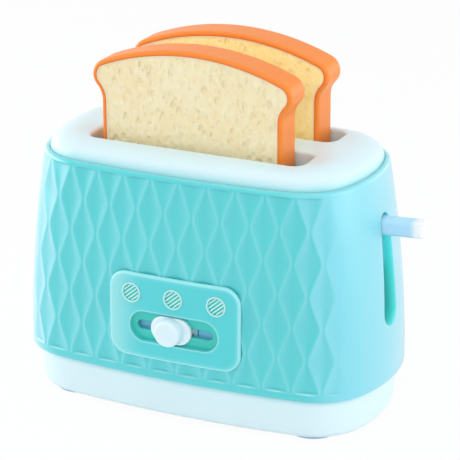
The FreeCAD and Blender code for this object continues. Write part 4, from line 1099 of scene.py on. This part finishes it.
# painted light towards the panel's left end; a painted highlight on the panel's rounded edge and on the
# tray's lip; painted shade over the tray's floor and walls
panel_tints = [(along_x(-0.020, -0.046), 1.0, "#A6ECEE"),
               (band_inside(PANEL, ((-0.2, 0.8), (0.8, 0.75), (1.5, 0.15), (3.0, 0.0))), 1.0, "#ACF2F6"),
               (band_inside(TRAY, ((-1.0, 0.0), (-0.6, 0.4), (-0.1, 0.4), (0.1, 0.0))), 1.0, "#B8F4F8"),
               (band_inside(TRAY, ((-0.1, 0.0), (0.1, 1.0), (8.0, 1.0))), 1.0, "#00CABE")]
# painted highlight on the icon rings
for x in ICON_XS:
    ring = (x, ICON_Z, ICON_RING, ICON_RING, ICON_RING)
    panel_tints.append((band_inside(ring, RING_BAND), 1.0, "#C8F8FA"))
# painted highlight on the icon bars and painted shade in the grooves between them
for x in ICON_XS:
    disc = (x, ICON_Z, ICON_DISC, ICON_DISC, ICON_DISC)
    panel_tints.append((band_inside(disc, DISC_BAND), 1.0, barred(x, ICON_Z, "#00F4DC", "#C8FCFF")))
# painted shade in hollows and corners
panel_tints.append((in_hollows(0.001), 0.7, "#14D0C4"))
panel_blue = plastic("panel_turquoise", "#44D5DA", 0.34, panel_tints, coat=0.8, sheen=0.3, glow=0.1)

# ---- other mouldings ----
# painted reflection of the turquoise sleeve along the cover's lower edge, and a painted highlight on its
# rims
cover_white = plastic("cover_white", "#DDF5FC", 0.34, glow=0.1,
                      tints=((by_seam(119.0, 124.0), 0.75, "#8ADCE0"), (on_rims(), 0.5, "#FFFFFF")))
# painted teal shadow under the sleeve along the plinth's top, and a painted highlight on its rims
plinth_white = plastic("plinth_white", "#E6FAFF", 0.34, glow=0.1,
                       tints=((by_seam(22.0, 17.5), 0.75, "#86D8DE"), (on_rims(), 0.5, "#FFFFFF")))
frame_white = plastic("frame_white", "#DCE1E6", 0.5)
carriage_blue = plastic("carriage_blue", "#A9D4EE", 0.45)
# painted highlight on the lever's tip, which faces the right-hand lamp, and on its rims
lever_blue = plastic("lever_blue", "#BAE4FC", 0.34, glow=0.1,
                     tints=((along_x(0.0895, 0.0935), 1.0, "#FFFFFF"), (on_rims(), 0.5, "#DCF4FF")))
# painted highlight on the knob's rims and painted shade in its hollows
knob_white = plastic("knob_white", "#E6F8FF", 0.34, glow=0.1,
                     tints=((on_rims(0.0018), 1.0, "#FFFFFF"), (in_hollows(0.002), 0.4, "#A8DCEE")))
# painted light where the knob's foot is lit, and the painted shadow that the foot casts on the plate
plate_blue = plastic("plate_blue", "#7CD2F4", 0.4,
                     tints=((band_inside(PLATE_PAINTED_LIGHT, LINE_BAND), 1.0, "#B8E6F8"),
                            (band_inside(PLATE_PAINTED_SHADOW, LINE_BAND), 1.0, "#1E5F80")))
foot_grey = plastic("foot_grey", "#B7CBEA", 0.6, grain=1.0, bump=0.4)

# ---- toast and steel ----
# painted shade, a deeper orange, on the crust's rounded edges
crust_orange = plastic("crust_orange", "#FE8C2A", 0.4, glow=0.15, radius=(0.006, 0.003, 0.001),
                       tints=((on_rims(0.0014), 0.8, "#FC7410"),))
bead_cream = plastic("bead_cream", "#FFECC8", 0.45, glow=0.2, radius=(0.004, 0.003, 0.002))
# the rear crumb is a lit copy of the front one: warmer, paler colours and a painted glow, for light
# bounced between the slices
crumb_front = bread("crumb_front", "#FCE4B2", "#F6D88E", "#FFF2CE")
crumb_rear = bread("crumb_rear", "#FFE49C", "#FFD27C", "#FFF2C0", painted_glow=0.14)
steel = metal("screw_steel", "#B4B4B8", 0.25)
rod_steel = metal("rod_steel", "#C4C6CA", 0.15, 900.0)
spring_steel = metal("spring_steel", "#8C8E92", 0.3)

dress(panel_blue, "control_panel")
dress(cover_white, "top_cover")
dress(plinth_white, "base_plate")
dress(frame_white, "guide_tower")
dress(carriage_blue, "carriage")
dress(lever_blue, "lever")
dress(knob_white, "slider_knob")
dress(plate_blue, "slide_plate", "latch_bolt")
dress(foot_grey, "foot_front_left", "foot_front_right", "foot_rear_left", "foot_rear_right")
dress(crust_orange, "toast_crust_front", "toast_crust_rear")
dress(crumb_front, "toast_face_front_outer", "toast_face_front_inner")
dress(crumb_rear, "toast_face_rear_outer", "toast_face_rear_inner")
dress(steel, "lever_screw", "knob_screw", "base_screws", "cover_screws", "panel_screws", "tower_screws")
dress(rod_steel, "guide_rod_front", "guide_rod_rear")
for place in ("front", "rear"):
    build_spring(spring_steel, place)

build_sleeve(turquoise)
for place in ("front", "rear"):
    build_beads(bead_cream, place)
